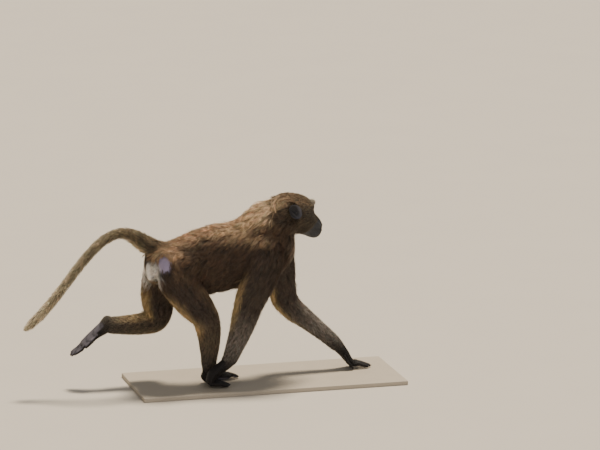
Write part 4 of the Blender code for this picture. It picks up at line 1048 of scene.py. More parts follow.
def lie_of_part(kind, heading, up, share, local):
    """Way that the hair of one part lies at each point."""
    if kind == "trunk":
        return np.column_stack([np.full(len(up), -1.0), np.zeros(len(up)),
                                -0.12 - 0.50 * (1 - np.abs(up)) - 0.35 * share])
    if kind == "neck":
        return -heading + np.array((0, 0, -0.45)) * (1 - np.clip(up, 0, 1))[:, None]
    if kind == "head":
        x, z = local[:, 0], local[:, 2]
        back = np.array(HEAD_FRAME.to_3x3()) @ np.array((-1.0, 0.0, 0.0))
        drop_way = np.array((0.0, 0.0, -1.0))
        way = back[None] + drop_way[None] * (0.75 * blend_rise(-z, -0.03, 0.05))[:, None]
        brow = (blend_rise(x, 0.052, 0.068) * blend_rise(z, 0.030, 0.040))[:, None]
        return way * (1 - brow) + brow * (np.array((0, 0, 0.7)) - 0.8 * back)
    return heading + np.array((-0.18, 0, 0)) * (kind != "tail")


def coat_of_parts(local, up, weight, share, heading):
    """Hair, colour and lie from the tables, where each part's own run into its neighbours'."""
    hair = np.zeros((len(up), 4))
    colour = np.zeros((len(up), 3))
    lie = np.zeros((len(up), 3))
    for k, (kind, axis) in enumerate(AXES):
        table = np.array(HAIR[kind], dtype=float)
        for c in range(4):
            hair[:, c] += weight[:, k] * np.interp(share[:, k], table[:, 0], table[:, c + 1])
        stops = [row[0] for row in COLOURS[kind]]
        tones = [np.array([linear(row[c]) for row in COLOURS[kind]]) for c in (1, 2, 3)]
        top_and_sunlit, flank, under = (np.column_stack([np.interp(share[:, k], stops, t[:, c]) for c in range(3)])
                             for t in tones)
        # Hair facing up takes the top tone, partly its paler colour and partly painted sunlight; hair on the
        # sides takes the flank tone, partly painted shade.
        top_and_sunlit_mix = blend_rise(up, SUNLIT_TOP_FROM[kind], SUNLIT_TOP_FROM[kind] + 0.50)[:, None]
        mix_down = blend_rise(-up, 0.10, 0.80)[:, None]
        tone = flank + (top_and_sunlit - flank) * top_and_sunlit_mix + (under - flank) * mix_down
        colour += weight[:, k][:, None] * tone
        way = lie_of_part(kind, heading[:, k], up, share[:, k], local)
        lie += weight[:, k][:, None] * way / np.linalg.norm(way, axis=1)[:, None]
    return hair, colour, lie


def set_head_hair(hair, local, head, brow_edge):
    """Hair of the head: shorter, finer and closer towards the muzzle, longer on the brow and cheeks."""
    x, z = local[:, 0], local[:, 2]
    length = np.interp(x, (-0.03, 0.03, 0.055, 0.072, 0.090, 0.13), (32, 23, 17, 10, 6, 5))
    length = length + 9 * brow_edge
    cheek = blend_rise(-z, -0.015, 0.03) * (1 - blend_rise(x, 0.045, 0.085))
    length = length * (1 + 0.35 * cheek)
    depth = 9.0 * (1 - blend_rise(x, -0.02, 0.078)) + 1.2
    wide = np.interp(x, (-0.03, 0.05, 0.09), (1.4, 1.0, 0.6))
    dense = np.interp(x, (-0.03, 0.05, 0.09), (18, 26, 44))
    for c, value in enumerate((length, depth, wide, dense)):
        hair[:, c] += head * (value - hair[:, c])


def set_limb_hair(hair, colour, normals, weight, share):
    """Short dark hair on hands and feet, and longer hair on the rear edges of the limbs, tinted gold as a
    painted backlight glow.
    """
    for k in BARE_SIDES:
        on = weight[:, k] * blend_rise(share[:, k], 0.98, 1.14)
        for c, value in enumerate((6.0, 1.2, 0.6, 40)):
            hair[:, c] += on * (value - hair[:, c])
        colour += on[:, None] * (linear(PAW_HAIR_TONE)[None] - colour)
        # The rear-facing hair of the upper limbs is tinted gold as a painted backlight glow.
        rear = weight[:, k] * blend_rise(-normals[:, 0], 0.30, 0.80)
        rear = rear * (1 - blend_rise(share[:, k], 0.5, 0.72))
        rear = rear * blend_rise(share[:, k], 0.10, 0.30)
        colour += 0.75 * rear[:, None] * (linear(REAR_BACKLIT_GLOW)[None] - colour)
        hair[:, 0] *= 1 + 0.40 * rear
        hair[:, 1] *= 1 + 0.70 * rear


def clear_ears(hair, local, weight):
    """Hair before and under an ear stays short and low enough to leave the ear in view."""
    x, y, z = local.T
    gap = past_ear(local)
    room = np.where(x > EAR_AT[0] - 0.25 * EAR_WIDTH, np.maximum(gap * 1.2, 0) / MM + 3.0, 100.0)
    by_ear = (weight[:, HEAD_PART] + weight[:, NECK_PART] > 0.4) & (np.abs(y) > 0.030)
    by_ear = by_ear & (np.abs(x) < 0.09) & (z > -0.06)
    hair[:, 0] = np.where(by_ear, np.minimum(hair[:, 0], room), hair[:, 0])
    low = np.maximum(gap * 2, 0) / MM + 2.5
    hair[:, 1] = np.where(by_ear, np.minimum(hair[:, 1], low), hair[:, 1])


def set_mane(hair, colour, points, up, weight, local):
    """The high mane on the nape, golden partly in its own colour and partly as painted sunlight on its
    upward-facing hair.
    """
    away = ((points[:, 0] - NAPE_AT[0]) / 0.060, (points[:, 2] - NAPE_AT[1]) / 0.070)
    mane = np.exp(-away[0] ** 2 - away[1] ** 2)
    mane *= blend_rise(up, 0.05, 0.60) * (weight[:, NECK_PART] + weight[:, HEAD_PART]
                                          + 0.5 * weight[:, TRUNK_PART])
    on_crown = weight[:, HEAD_PART] * blend_rise(local[:, 0], -0.075, -0.035)
    # Upward-facing hair of the mane is painted paler gold, partly its own colour and partly painted
    # sunlight.
    gold_and_sunlit = mane * (1 - on_crown) * blend_rise(up, 0.15, 0.65)
    colour += 0.8 * gold_and_sunlit[:, None] * (linear(NAPE_GOLD_AND_SUNLIT_TONE) - colour)
    hair[:, 1] += NAPE_LIFT * mane
    hair[:, 0] += 10 * mane


def set_rump(hair, colour, points, up, weight, share):
    """The pale fringe under the tail's root, the hair round the seat pads, and the painted shadow in the
    fold beside the tail's root.
    """
    fringe = weight[:, TAIL_PART] * blend_rise(-up, 0.10, 0.70)
    fringe = fringe * (1 - blend_rise(share[:, TAIL_PART], 0.12, 0.34))
    colour += 0.8 * fringe[:, None] * (linear(FRINGE_TONE) - colour)
    hair[:, 0] += 12 * fringe
    hair[:, 1] += 8 * fringe
    # The pale hair round the seat pads, made paler as painted sunlight.
    rim = within(points, PAD_RIM_AT, PAD_RIM_SIZE, 0.75, 1.42)[:, None]
    colour += 0.85 * rim * (linear(PAD_RIM_PALE_AND_SUNLIT_TONE) - colour)
    # Painted shadow in the fold beside the tail's root, on the hair.
    fold_shadow = within(points, FOLD_SHADOW_AT, FOLD_SHADOW_SIZE, 0.7, 1.3)[:, None]
    colour += 0.85 * fold_shadow * (linear(FOLD_SHADOW_TONE) - colour)


def coat_at(points, normals):
    """Lie, size, density and colour of the coat at each point."""
    weight, share, heading = shares_of_parts(points)
    up = normals[:, 2]
    local = in_head(points)
    x, z = local[:, 0], local[:, 2]
    hair, colour, lie = coat_of_parts(local, up, weight, share, heading)
    head = weight[:, HEAD_PART] * blend_rise(x, -0.06, 0.0)
    brow_edge = np.exp(-((x - 0.074) / 0.010) ** 2) * blend_rise(z, 0.034, 0.041)
    set_head_hair(hair, local, head, brow_edge)
    set_limb_hair(hair, colour, normals, weight, share)
    # The top edge of the brow is painted pale, partly its own pale hair and partly a painted rim highlight.
    colour += (head * brow_edge)[:, None] * 0.8 * (linear(BROW_PALE_AND_RIM_LIT_TONE)[None] - colour)
    clear_ears(hair, local, weight)
    set_mane(hair, colour, points, up, weight, local)
    colour += COAT_GREY * (colour.mean(1)[:, None] - colour)
    set_rump(hair, colour, points, up, weight, share)
    belly = weight[:, TRUNK_PART] * blend_rise(-up, 0.3, 0.8)
    hair[:, 0] *= 1 - 0.15 * belly
    hair[:, 1] *= 1 + 0.25 * belly
    bare = bareness(points, normals, weight, share)
    hair[:, 1] += 9 * head * brow_edge
    hair[:, 0] *= 1 - 0.72 * bare
    hair[:, 1] *= 1 - 0.80 * bare
    hair[:, 3] *= 1 - blend_rise(bare, 0.55, 0.92)
    lie -= normals * (lie * normals).sum(1)[:, None]
    lie /= np.maximum(np.linalg.norm(lie, axis=1), 1e-6)[:, None]
    return {"lie": lie, "length": hair[:, 0] * MM, "depth": hair[:, 1] * MM, "width": hair[:, 2] * MM,
            "dense": hair[:, 3] * COAT_SHARE * 1e4, "colour": colour, "bare": bare, "part": weight.argmax(1),
            "weight": weight, "share": share}


def skin_colour(points, normals, coat):
    """Colour of the skin: its bare tones, and the darker undercoat where hair grows."""
    local = in_head(points)
    bare_tone = np.tile(linear(HAND_TONE), (len(points), 1))
    on_head = (coat["weight"][:, HEAD_PART] > 0.5)[:, None]
    nose = blend_rise(local[:, :1], 0.118, 0.140)
    bare_tone = np.where(on_head, linear(FACE_TONE) * (1 - nose) + linear(NOSE_TONE) * nose, bare_tone)
    for k in FEET:
        sole = coat["weight"][:, k] * paw_sides(k, normals, coat["share"][:, k])[0]
        # The sole is darker in its creases, as painted shade.
        crease_shade = blend_rise(np.sin(62 * coat["share"][:, k] + 2.5 * np.sin(110 * points[:, 1])), 0.45, 0.95)
        bare_tone += sole[:, None] * (linear(SOLE_TONE) * (1 - 0.55 * crease_shade[:, None]) - bare_tone)
    # The lilac rump and the pale pad rim; the rim is made paler as painted sunlight.
    for at, size, tone in ((RUMP_AT, RUMP_SIZE, RUMP_TONE), (PAD_RIM_AT, PAD_RIM_SIZE, PAD_RIM_PALE_AND_SUNLIT_TONE)):
        on = within(points, at, size, 0.70, 1.25)[:, None]
        bare_tone += on * (linear(tone) - bare_tone)
    # Painted shadow in the fold beside the tail's root, on the hide.
    fold_shadow = within(points, FOLD_SHADOW_AT, FOLD_SHADOW_SIZE, 0.7, 1.2)[:, None]
    bare_tone += fold_shadow * (linear(FOLD_SHADOW_TONE) - bare_tone)
    # The hide is darker along the mouth's line, as painted shade between the lips.
    lip = np.exp(-((local[:, 2] - np.interp(local[:, 0], (0.085, 0.147), (-0.046, -0.052))) / 0.004) ** 2)
    lip = (lip * (local[:, 0] > 0.08) * on_head[:, 0])[:, None]
    bare_tone *= 1 - 0.35 * lip
    bare = coat["bare"][:, None]
    return coat["colour"] * UNDERCOAT_SHARE * (1 - bare) + bare_tone * bare


def paint(obj, colours, name="tone"):
    """Store a colour on every vertex."""
    layer = obj.data.color_attributes.new(name, "FLOAT_COLOR", "POINT")
    values = np.column_stack([colours, np.ones(len(colours))]).astype(np.float32)
    layer.data.foreach_set("color", values.ravel())


def mesh_from_arrays(name, vertices, triangles, uvs, colours):
    """A joined mesh of triangles from arrays, with its OFBake map and its tones."""
    mesh = bpy.data.meshes.new(name)
    mesh.vertices.add(len(vertices))
    mesh.vertices.foreach_set("co", vertices.astype(np.float32).ravel())
    mesh.loops.add(triangles.size)
    mesh.loops.foreach_set("vertex_index", triangles.astype(np.int32).ravel())
    mesh.polygons.add(len(triangles))
    mesh.polygons.foreach_set("loop_start", np.arange(0, triangles.size, 3, dtype=np.int32))
    mesh.update(calc_edges=True)
    mesh.polygons.foreach_set("use_smooth", np.ones(len(triangles), dtype=bool))
    layer = mesh.uv_layers.new(name="OFBake")
    layer.data.foreach_set("uv", uvs[triangles.ravel()].astype(np.float32).ravel())
    obj = bpy.data.objects.new(name, mesh)
    bpy.context.collection.objects.link(obj)
    paint(obj, colours)
    return obj


def triangles_of(obj):
    """An object's faces as an array of triangles."""
    obj.data.calc_loop_triangles()
    flat = np.empty(len(obj.data.loop_triangles) * 3, dtype=np.int32)
    obj.data.loop_triangles.foreach_get("vertices", flat)
    return flat.reshape(-1, 3)


def roots_on(points, normals, triangles, dense, random):
    """Evenly strewn places on a mesh, with their normals, by the density at each vertex."""
    a, b, c = (points[triangles[:, k]] for k in range(3))
    area = 0.5 * np.linalg.norm(np.cross(b - a, c - a), axis=1)
    wanted = area * dense[triangles].mean(1)
    running = np.cumsum(wanted)
    count = int(running[-1])
    ticks = (np.arange(count) + random.random(count)) * running[-1] / count
    pick = np.searchsorted(running, ticks)
    pick = np.minimum(pick, len(triangles) - 1)
    r1, r2 = np.sqrt(random.random(count)), random.random(count)
    share = np.column_stack([1 - r1, r1 * (1 - r2), r1 * r2])
    place = (points[triangles[pick]] * share[:, :, None]).sum(1)
    normal = unit((normals[triangles[pick]] * share[:, :, None]).sum(1))
    return place, normal


def bake_places(points, coat):
    """Each point's place on the unwrap: one cell a part, round its axis by share along it."""
    out = np.zeros((len(points), 2))
    for k, (kind, (middles, heading, radii, share)) in enumerate(AXES):
        pick = coat["part"] == k
        along = coat["share"][pick, k]
        index = np.minimum(np.searchsorted(share, along), len(share) - 1)
        away = points[pick] - middles[index]
        side = np.cross(heading[index], (0.0, 0.0, 1.0))
        side = np.where(np.linalg.norm(side, axis=1)[:, None] > 0.05, side, (0.0, 1.0, 0.0))
        side = unit(side)
        deep = np.cross(side, heading[index])
        angle = np.arctan2((away * side).sum(1), (away * deep).sum(1))
        out[pick, 0] = (k % 3) / 3 + 0.012 + 0.306 * (0.5 + angle / (2 * math.pi))
        out[pick, 1] = (k // 3) / 3 + 0.012 + 0.306 * along / share[-1]
    return out


def lock_leaders(place, length, random):
    """For each tuft, the nearest of a thinner set of leaders; tufts that share one make a lock."""
    keep = random.random(len(place)) < np.interp(length, (5 * MM, 50 * MM), (0.16, 0.075))
    leaders = np.flatnonzero(keep)
    finder = KDTree(len(leaders))
    for k, i in enumerate(leaders):
        finder.insert(place[i], k)
    finder.balance()
    return np.array([leaders[finder.find(p)[1]] for p in place])


def tuft_spines(shape, place, normal, way, length, rise):
    """Four places along each tuft from its root to its tip, and the way that is up at each."""
    points, normals, triangles = shape
    tree = BVHTree.FromPolygons(points.tolist(), triangles.tolist())
    corner = normals[triangles]
    spine = [place - normal * 0.6 * MM]
    lift = [normal]
    here, facing = place, way
    for step, height in ((0.34, 0.52), (0.34, 0.86), (0.32, 1.0)):
        target = here + facing * (length * step)[:, None]
        landed = np.empty((len(place), 3))
        face = np.empty(len(place), dtype=np.int64)
        for i, p in enumerate(target):
            hit = tree.find_nearest(p)
            landed[i] = hit[0]
            face[i] = hit[2]
        up = unit(corner[face].mean(1))
        spine.append(landed + up * (rise * height)[:, None])
        lift.append(up)
        moved = unit(landed - here)
        facing = unit(moved - up * (moved * up).sum(1)[:, None])
        here = landed
    return spine, lift


def tuft_faces(rings):
    """Triangles of one three-sided tuft over a number of rings, whose tip is its last vertex."""
    faces = [(0, 1, 2)]
    for r in range(rings - 1):
        for a in range(3):
            b = (a + 1) % 3
            p, q = 3 * r, 3 * r + 3
            faces.append((p + a, q + a, q + b))
            faces.append((p + a, q + b, p + b))
    last = 3 * (rings - 1)
    faces += [(last + a, 3 * rings, last + (a + 1) % 3) for a in range(3)]
    return np.array(faces)


def grow_coat(skin, whole, random):
    """The whole coat, as a few joined meshes of thin tapered tufts that lie along the body."""
    shape = places_of(skin), normals_of(skin), triangles_of(skin)
    place, normal = roots_on(*shape, whole["dense"], random)
    coat = coat_at(place, normal)
    count = len(place)
    leader = lock_leaders(place, coat["length"], random)

    # Turn, length and rise vary from lock to lock and from tuft to tuft, and a few tufts stray.
    free = random.random(count) < STRAY_SHARE
    turn = random.normal(0, math.radians(6), count) + random.normal(0, math.radians(9), count)[leader]
    turn = turn + np.where(free, random.normal(0, math.radians(16), count), 0.0)
    side = np.cross(normal, coat["lie"])
    way = coat["lie"] * np.cos(turn)[:, None] + side * np.sin(turn)[:, None]
    length = coat["length"] * (random.uniform(0.80, 1.15, count)) * random.uniform(0.88, 1.12, count)[leader]
    rise = coat["depth"] * random.uniform(0.80, 1.04, count) * random.uniform(0.86, 1.08, count)[leader]
    rise = rise + np.where(free, random.uniform(0.03, 0.16, count) * coat["length"], 0.0)
    spine, lift = tuft_spines(shape, place, normal, way, length, rise)

    # The tufts of a lock lean together towards their leader's tip.
    gather = np.interp(coat["length"], (8 * MM, 20 * MM, 45 * MM), (0.10, 0.34, 0.62))
    gather = np.where(free, 0.0, gather)[:, None]
    for k, share in ((1, 0.15), (2, 0.6), (3, 1.0)):
        offset = (place[leader] - place)
        pull = spine[k][leader] - spine[k]
        close = np.linalg.norm(offset, axis=1)[:, None] < 0.03
        spine[k] = spine[k] + np.where(close, pull * gather * share, 0.0)

    # Breadth varies by tuft, and shade and warmth by lock as well.
    width = coat["width"] * TUFT_BREADTH * random.uniform(0.75, 1.25, count)
    shade = (random.uniform(0.72, 1.30, count) * random.uniform(0.64, 1.34, count)[leader])[:, None]
    warm = (1 + random.normal(0, 0.05, count)[leader])[:, None] * np.array((1.0, 0.0, 0.0)) + (0, 1, 0)
    warm = warm + np.array((0, 0, 1.0)) * (1 - random.normal(0, 0.05, count))[:, None]
    base = coat["colour"] * shade * warm
    uv = bake_places(place, coat)
    long_hair = coat["length"] > LONG_HAIR
    sections = []
    for k, girth in ((0, 0.75), (1, 1.0), (2, 0.72)):
        ahead = unit(spine[k + 1] - spine[max(k - 1, 0)])
        flat = unit(np.cross(ahead, lift[k]))
        out = unit(np.cross(flat, ahead))
        half = (width * 0.5 * girth)[:, None]
        sections.append(np.stack([spine[k] - flat * half, spine[k] + flat * half,
                                  spine[k] + out * half * 0.7], 1))
    # Each hair is dark at its root and palest at its tip.
    tones = [base * 0.45, base * 0.95, base * 1.12, base * 1.22]
    pieces = []
    for is_long in (True, False):
        chosen = np.flatnonzero(long_hair == is_long)
        rings = (0, 1, 2) if is_long else (0, 2)
        vertices = np.concatenate([sections[k][chosen] for k in rings] + [spine[3][chosen][:, None]], axis=1)
        size = vertices.shape[1]
        faces = tuft_faces(len(rings))
        colour = np.concatenate([np.repeat(tones[k][chosen][:, None], 3, axis=1) for k in rings]
                                + [tones[3][chosen][:, None]], axis=1)
        offsets = []
        for r in range(len(rings)):
            v = TUFT_PATCH * r / len(rings)
            offsets += [(-0.5 * TUFT_PATCH, v), (0.5 * TUFT_PATCH, v), (0.0, v)]
        offsets.append((0.0, TUFT_PATCH))
        patch = uv[chosen][:, None] + np.array(offsets)[None]
        order = np.lexsort((place[chosen, 0], coat["part"][chosen]))
        limit = PIECE_TRIANGLES // len(faces)
        names = coat["part"][chosen][order]
        for part in range(len(AXES)):
            members = order[names == part]
            for first in range(0, len(members), limit):
                group = members[first:first + limit]
                base_index = (np.arange(len(group)) * size)[:, None, None]
                tris = (faces[None] + base_index).reshape(-1, 3)
                label = ("long" if is_long else "short") + "_" + str(len(pieces))
                pieces.append(mesh_from_arrays(
                    "coat_" + label, vertices[group].reshape(-1, 3) + ORIGIN, tris,
                    patch[group].reshape(-1, 2), colour[group].reshape(-1, 3)))
    return pieces


def eye_ball(side, name):
    """One eye, with a clear bulge before the iris; each vertex keeps its angle from the pupil."""
    rows, cols = 40, 48
    vertices = []
    reach = []
    for r in range(rows + 1):
        a = math.pi * (r / rows) ** 1.25
        bulge = 0.045 * math.exp(-(a / 0.52) ** 4)
        for c in range(cols):
            t = 2 * math.pi * c / cols
            vertices.append((EYE_RADIUS * (math.cos(a) + bulge), EYE_RADIUS * math.sin(a) * math.cos(t),
                             EYE_RADIUS * math.sin(a) * math.sin(t)))
            reach.append(a)
    faces = []
    for r in range(rows):
        for c in range(cols):
            n = (c + 1) % cols
            faces.append((r * cols + c, r * cols + n, (r + 1) * cols + n, (r + 1) * cols + c))
    at = HEAD_FRAME @ Matrix.Translation((EYE_AT[0], side * EYE_AT[1], EYE_AT[2])) @ eye_turn(side)
    vertices, faces = placed((np.array(vertices), faces), at)
    obj = mesh_object(name, vertices + ORIGIN, faces)
    layer = obj.data.attributes.new("reach", "FLOAT", "POINT")
    layer.data.foreach_set("value", np.array(reach, dtype=np.float32))
    obj.data.shade_smooth()
    return obj


def seat_pad(side, name):
    """One seat pad: a thick, flattened oval of bare hide under the tail."""
    forms = [
        ball((-0.176, side * 0.0175, 0.400), (0.0110, 0.0150, 0.0260), count=28),
        ball((-0.173, side * 0.0190, 0.380), (0.0110, 0.0135, 0.0170), count=24),
        ball((-0.172, side * 0.0230, 0.408), (0.0100, 0.0130, 0.0160), count=24),
    ]
    obj = thinned(fused(name, forms, 0.8 * MM, 6), 4000)
    set_places(obj, places_of(obj) + ORIGIN)
    obj.data.shade_smooth()
    return obj


def add(tree, kind, inputs=None, **settings):
    """Add a node, set it up, and link or set its inputs."""
    node = tree.nodes.new(kind)
    for key, value in settings.items():
        setattr(node, key, value)
    for key, value in (inputs or {}).items():
        if isinstance(value, bpy.types.NodeSocket):
            tree.links.new(value, node.inputs[key])
        else:
            node.inputs[key].default_value = value
    return node


def repeats(size):
    """Scale of a pattern whose forms are this many millimetres apart."""
    return 1 / (size * MM)


def material(name):
    """A new material with its tree, shader and object coordinates."""
    made = bpy.data.materials.new(name)
    made.use_nodes = True
    tree = made.node_tree
    shader = tree.nodes["Principled BSDF"]
    place = add(tree, "ShaderNodeTexCoord").outputs["Object"]
    return made, tree, shader, place


def rgba(code):
    """A hex colour as four linear values."""
    return (*linear(code), 1.0)


def scaled(tree, colour, low, high, value):
    """A colour made darker or paler between two factors by a value."""
    factor = add(tree, "ShaderNodeMapRange", {"Value": value, "To Min": low, "To Max": high})
    return add(tree, "ShaderNodeVectorMath", {0: colour, "Scale": factor.outputs[0]},
               operation="SCALE").outputs[0]


# One nail, in radii of the finger or toe under it: its length, how far it reaches to each side, how
# high it arches and how thick it is.
NAIL_SIZES = {"Length": 2.00, "Half width": 0.67, "Arch": 0.70, "Thickness": 0.11}


def nail_tree(finish):
    """Geometry nodes that lay one curved nail on every tip, turned by along and up, sized by radius."""
    tree = bpy.data.node_groups.new("nail_on_each_tip", "GeometryNodeTree")
    tree.interface.new_socket("Geometry", in_out="INPUT", socket_type="NodeSocketGeometry")
    tree.interface.new_socket("Geometry", in_out="OUTPUT", socket_type="NodeSocketGeometry")
    for name, size in NAIL_SIZES.items():
        tree.interface.new_socket(name, in_out="INPUT", socket_type="NodeSocketFloat").default_value = size
    given = add(tree, "NodeGroupInput").outputs
    flat = add(tree, "GeometryNodeMeshGrid", {"Vertices X": 6, "Vertices Y": 7})
    place = add(tree, "ShaderNodeSeparateXYZ", {"Vector": add(tree, "GeometryNodeInputPosition").outputs[0]})
    value = {"x": place.outputs["X"], "y": place.outputs["Y"]}
    for name in NAIL_SIZES:
        value[name] = given[name]
    # Each row names a result, how it is worked out and from what.
    for name, operation, *terms in (
            ("reach", "ADD", "x", 0.5),
            ("angle", "MULTIPLY", "y", 2.30),
            ("level", "COSINE", "angle"),
            ("swing", "SINE", "angle"),
            ("corner", "MULTIPLY_ADD", "level", -0.35, 0.35),
            ("rounding", "MULTIPLY", "corner", "reach"),
            ("push", "MULTIPLY_ADD", "reach", "Length", -1.15),
            ("forward", "SUBTRACT", "push", "rounding"),
            ("sideways", "MULTIPLY", "swing", "Half width"),
            ("reach squared", "POWER", "reach", 2.0),
            ("droop", "MULTIPLY_ADD", "reach squared", -0.10, -0.02),
            ("arch", "MULTIPLY", "level", "Arch"),
            ("high", "ADD", "arch", "droop"),
            ("low", "SUBTRACT", "high", "Thickness")):
        terms = {i: value.get(term, term) for i, term in enumerate(terms)}
        value[name] = add(tree, "ShaderNodeMath", terms, operation=operation).outputs[0]
    bent_place = add(tree, "ShaderNodeCombineXYZ", {
        "X": value["forward"], "Y": value["sideways"], "Z": value["low"]}).outputs[0]
    bent = add(tree, "GeometryNodeSetPosition", {"Geometry": flat.outputs["Mesh"], "Position": bent_place})
    top = add(tree, "GeometryNodeExtrudeMesh", {
        "Mesh": bent.outputs[0], "Offset": (0.0, 0.0, 1.0), "Offset Scale": given["Thickness"],
        "Individual": False}, mode="FACES")
    underside = add(tree, "GeometryNodeFlipFaces", {"Mesh": bent.outputs[0]})
    shell = add(tree, "GeometryNodeJoinGeometry")
    for half in (underside, top):
        tree.links.new(half.outputs[0], shell.inputs[0])
    nail = add(tree, "GeometryNodeMergeByDistance", {"Geometry": shell.outputs[0], "Distance": 0.001})
    noted = {}
    for name, kind in (("along", "FLOAT_VECTOR"), ("up", "FLOAT_VECTOR"), ("radius", "FLOAT")):
        noted[name] = add(tree, "GeometryNodeInputNamedAttribute", {"Name": name}, data_type=kind).outputs[0]
    turned = add(tree, "FunctionNodeAxesToRotation", {0: noted["along"], 1: noted["up"]},
                 primary_axis="X", secondary_axis="Z")
    on_tips = add(tree, "GeometryNodeInstanceOnPoints", {
        "Points": given["Geometry"], "Instance": nail.outputs[0], "Rotation": turned.outputs[0],
        "Scale": noted["radius"]})
    real = add(tree, "GeometryNodeRealizeInstances", {"Geometry": on_tips.outputs[0]})
    smooth = add(tree, "GeometryNodeSetShadeSmooth", {"Geometry": real.outputs[0]})
    dressed = add(tree, "GeometryNodeSetMaterial", {"Geometry": smooth.outputs[0], "Material": finish})
    add(tree, "NodeGroupOutput", {"Geometry": dressed.outputs[0]})
    return tree


def nails_object(finish):
    """All twenty nails in one piece, grown by the nail tree on the tips that the digits noted."""
    tips, along, up, radius = (np.array(rows, dtype=np.float32) for rows in zip(*NAILS))
    obj = mesh_object("nails", tips + ORIGIN, [])
    for name, rows in (("along", along), ("up", up)):
        obj.data.attributes.new(name, "FLOAT_VECTOR", "POINT").data.foreach_set("vector", rows.ravel())
    obj.data.attributes.new("radius", "FLOAT", "POINT").data.foreach_set("value", radius)
    tree = nail_tree(finish)
    step = obj.modifiers.new("Nails", "NODES")
    step.node_group = tree
    for socket in tree.interface.items_tree:
        if socket.in_out == "INPUT" and socket.name in NAIL_SIZES:
            step[socket.identifier] = NAIL_SIZES[socket.name]
    return settle(obj)


def guard_hair():
    """Dry, coarse guard hair: matt along most of its length, with a faint gloss where it curves."""
    made, tree, shader, place = material("guard_hair")
    tone = add(tree, "ShaderNodeAttribute", attribute_name="tone").outputs["Color"]
    streak = add(tree, "ShaderNodeTexNoise", {"Vector": place, "Scale": repeats(3.85), "Detail": 2.0})
    colour = scaled(tree, tone, 0.78, 1.24, streak.outputs["Fac"])
    tree.links.new(colour, shader.inputs["Base Color"])
    shader.inputs["Roughness"].default_value = 0.62
    shader.inputs["Specular IOR Level"].default_value = 0.30
    shader.inputs["Sheen Weight"].default_value = 0.10
    shader.inputs["Sheen Roughness"].default_value = 0.45
    return made


def bare_hide():
    """Thin bare hide and undercoat: crossed skin lines, folds a few millimetres apart, a soft gloss.

    The lines of the real hide are about half a millimetre apart, and are drawn coarser so that they show.
    """
    made, tree, shader, place = material("bare_hide")
    tone = add(tree, "ShaderNodeAttribute", attribute_name="tone").outputs["Color"]
    cells = add(tree, "ShaderNodeTexVoronoi", {
        "Vector": place, "Scale": repeats(1.22)}, feature="DISTANCE_TO_EDGE")
    folds = add(tree, "ShaderNodeTexNoise", {
        "Vector": place, "Scale": repeats(4.17), "Detail": 4.0, "Distortion": 0.8})
    blotch = add(tree, "ShaderNodeTexNoise", {"Vector": place, "Scale": repeats(14.3), "Detail": 3.0})
    colour = scaled(tree, tone, 0.72, 1.30, blotch.outputs["Fac"])
    line = add(tree, "ShaderNodeMapRange", {"Value": cells.outputs["Distance"], "From Max": 0.12,
                                            "To Min": 0.80, "To Max": 1.0})
    colour = add(tree, "ShaderNodeVectorMath", {0: colour, "Scale": line.outputs[0]},
                 operation="SCALE").outputs[0]
    tree.links.new(colour, shader.inputs["Base Color"])
    height = add(tree, "ShaderNodeMath", {0: line.outputs[0], 1: folds.outputs["Fac"]}, operation="ADD")
    bump = add(tree, "ShaderNodeBump", {"Height": height.outputs[0], "Strength": 0.90, "Distance": 1.4 * MM})
    tree.links.new(bump.outputs[0], shader.inputs["Normal"])
    rough = add(tree, "ShaderNodeMapRange", {"Value": folds.outputs["Fac"], "To Min": 0.45, "To Max": 0.72})
    tree.links.new(rough.outputs[0], shader.inputs["Roughness"])
    shader.inputs["Specular IOR Level"].default_value = 0.30
    return made


def eye_glass():
    """A wet eye: black pupil, amber-brown iris with radial threads, dark rim and brown outer white."""
    made, tree, shader, place = material("wet_eye")
    reach = add(tree, "ShaderNodeAttribute", attribute_name="reach").outputs["Fac"]
    threads = add(tree, "ShaderNodeTexNoise", {"Vector": place, "Scale": repeats(1.11), "Detail": 3.0})
    wander = add(tree, "ShaderNodeMapRange", {
        "Value": threads.outputs["Fac"], "To Min": -0.05, "To Max": 0.05})
    value = add(tree, "ShaderNodeMath", {0: reach, 1: wander.outputs[0]}, operation="ADD")
    ramp = add(tree, "ShaderNodeValToRGB", {"Fac": value.outputs[0]})
    stops = ((0.0, "#050404"), (0.25, "#060504"), (0.31, "#402612"), (0.52, "#583619"), (0.62, "#2A1A10"),
             (0.68, "#140C09"), (0.84, "#2C221C"), (1.0, "#3A2E26"))
    band = ramp.color_ramp
    band.elements[0].position, band.elements[0].color = stops[0][0], rgba(stops[0][1])
    band.elements[1].position, band.elements[1].color = stops[-1][0], rgba(stops[-1][1])
    for at, code in stops[1:-1]:
        band.elements.new(at).color = rgba(code)
    tree.links.new(ramp.outputs["Color"], shader.inputs["Base Color"])
    shader.inputs["Roughness"].default_value = 0.06
    shader.inputs["IOR"].default_value = 1.376
    return made


def horn():
    """Dark horn of the nails: low gloss, faint lengthwise lines."""
    made, tree, shader, place = material("dark_horn")
    lines = add(tree, "ShaderNodeTexNoise", {"Vector": place, "Scale": repeats(1.43), "Detail": 2.0})
    colour = scaled(tree, rgba("#2A2422")[:3], 0.7, 1.4, lines.outputs["Fac"])
    tree.links.new(colour, shader.inputs["Base Color"])
    bump = add(tree, "ShaderNodeBump", {
        "Height": lines.outputs["Fac"], "Strength": 0.3, "Distance": 0.2 * MM})
    tree.links.new(bump.outputs[0], shader.inputs["Normal"])
    shader.inputs["Roughness"].default_value = 0.38
    shader.inputs["IOR"].default_value = 1.54
    return made


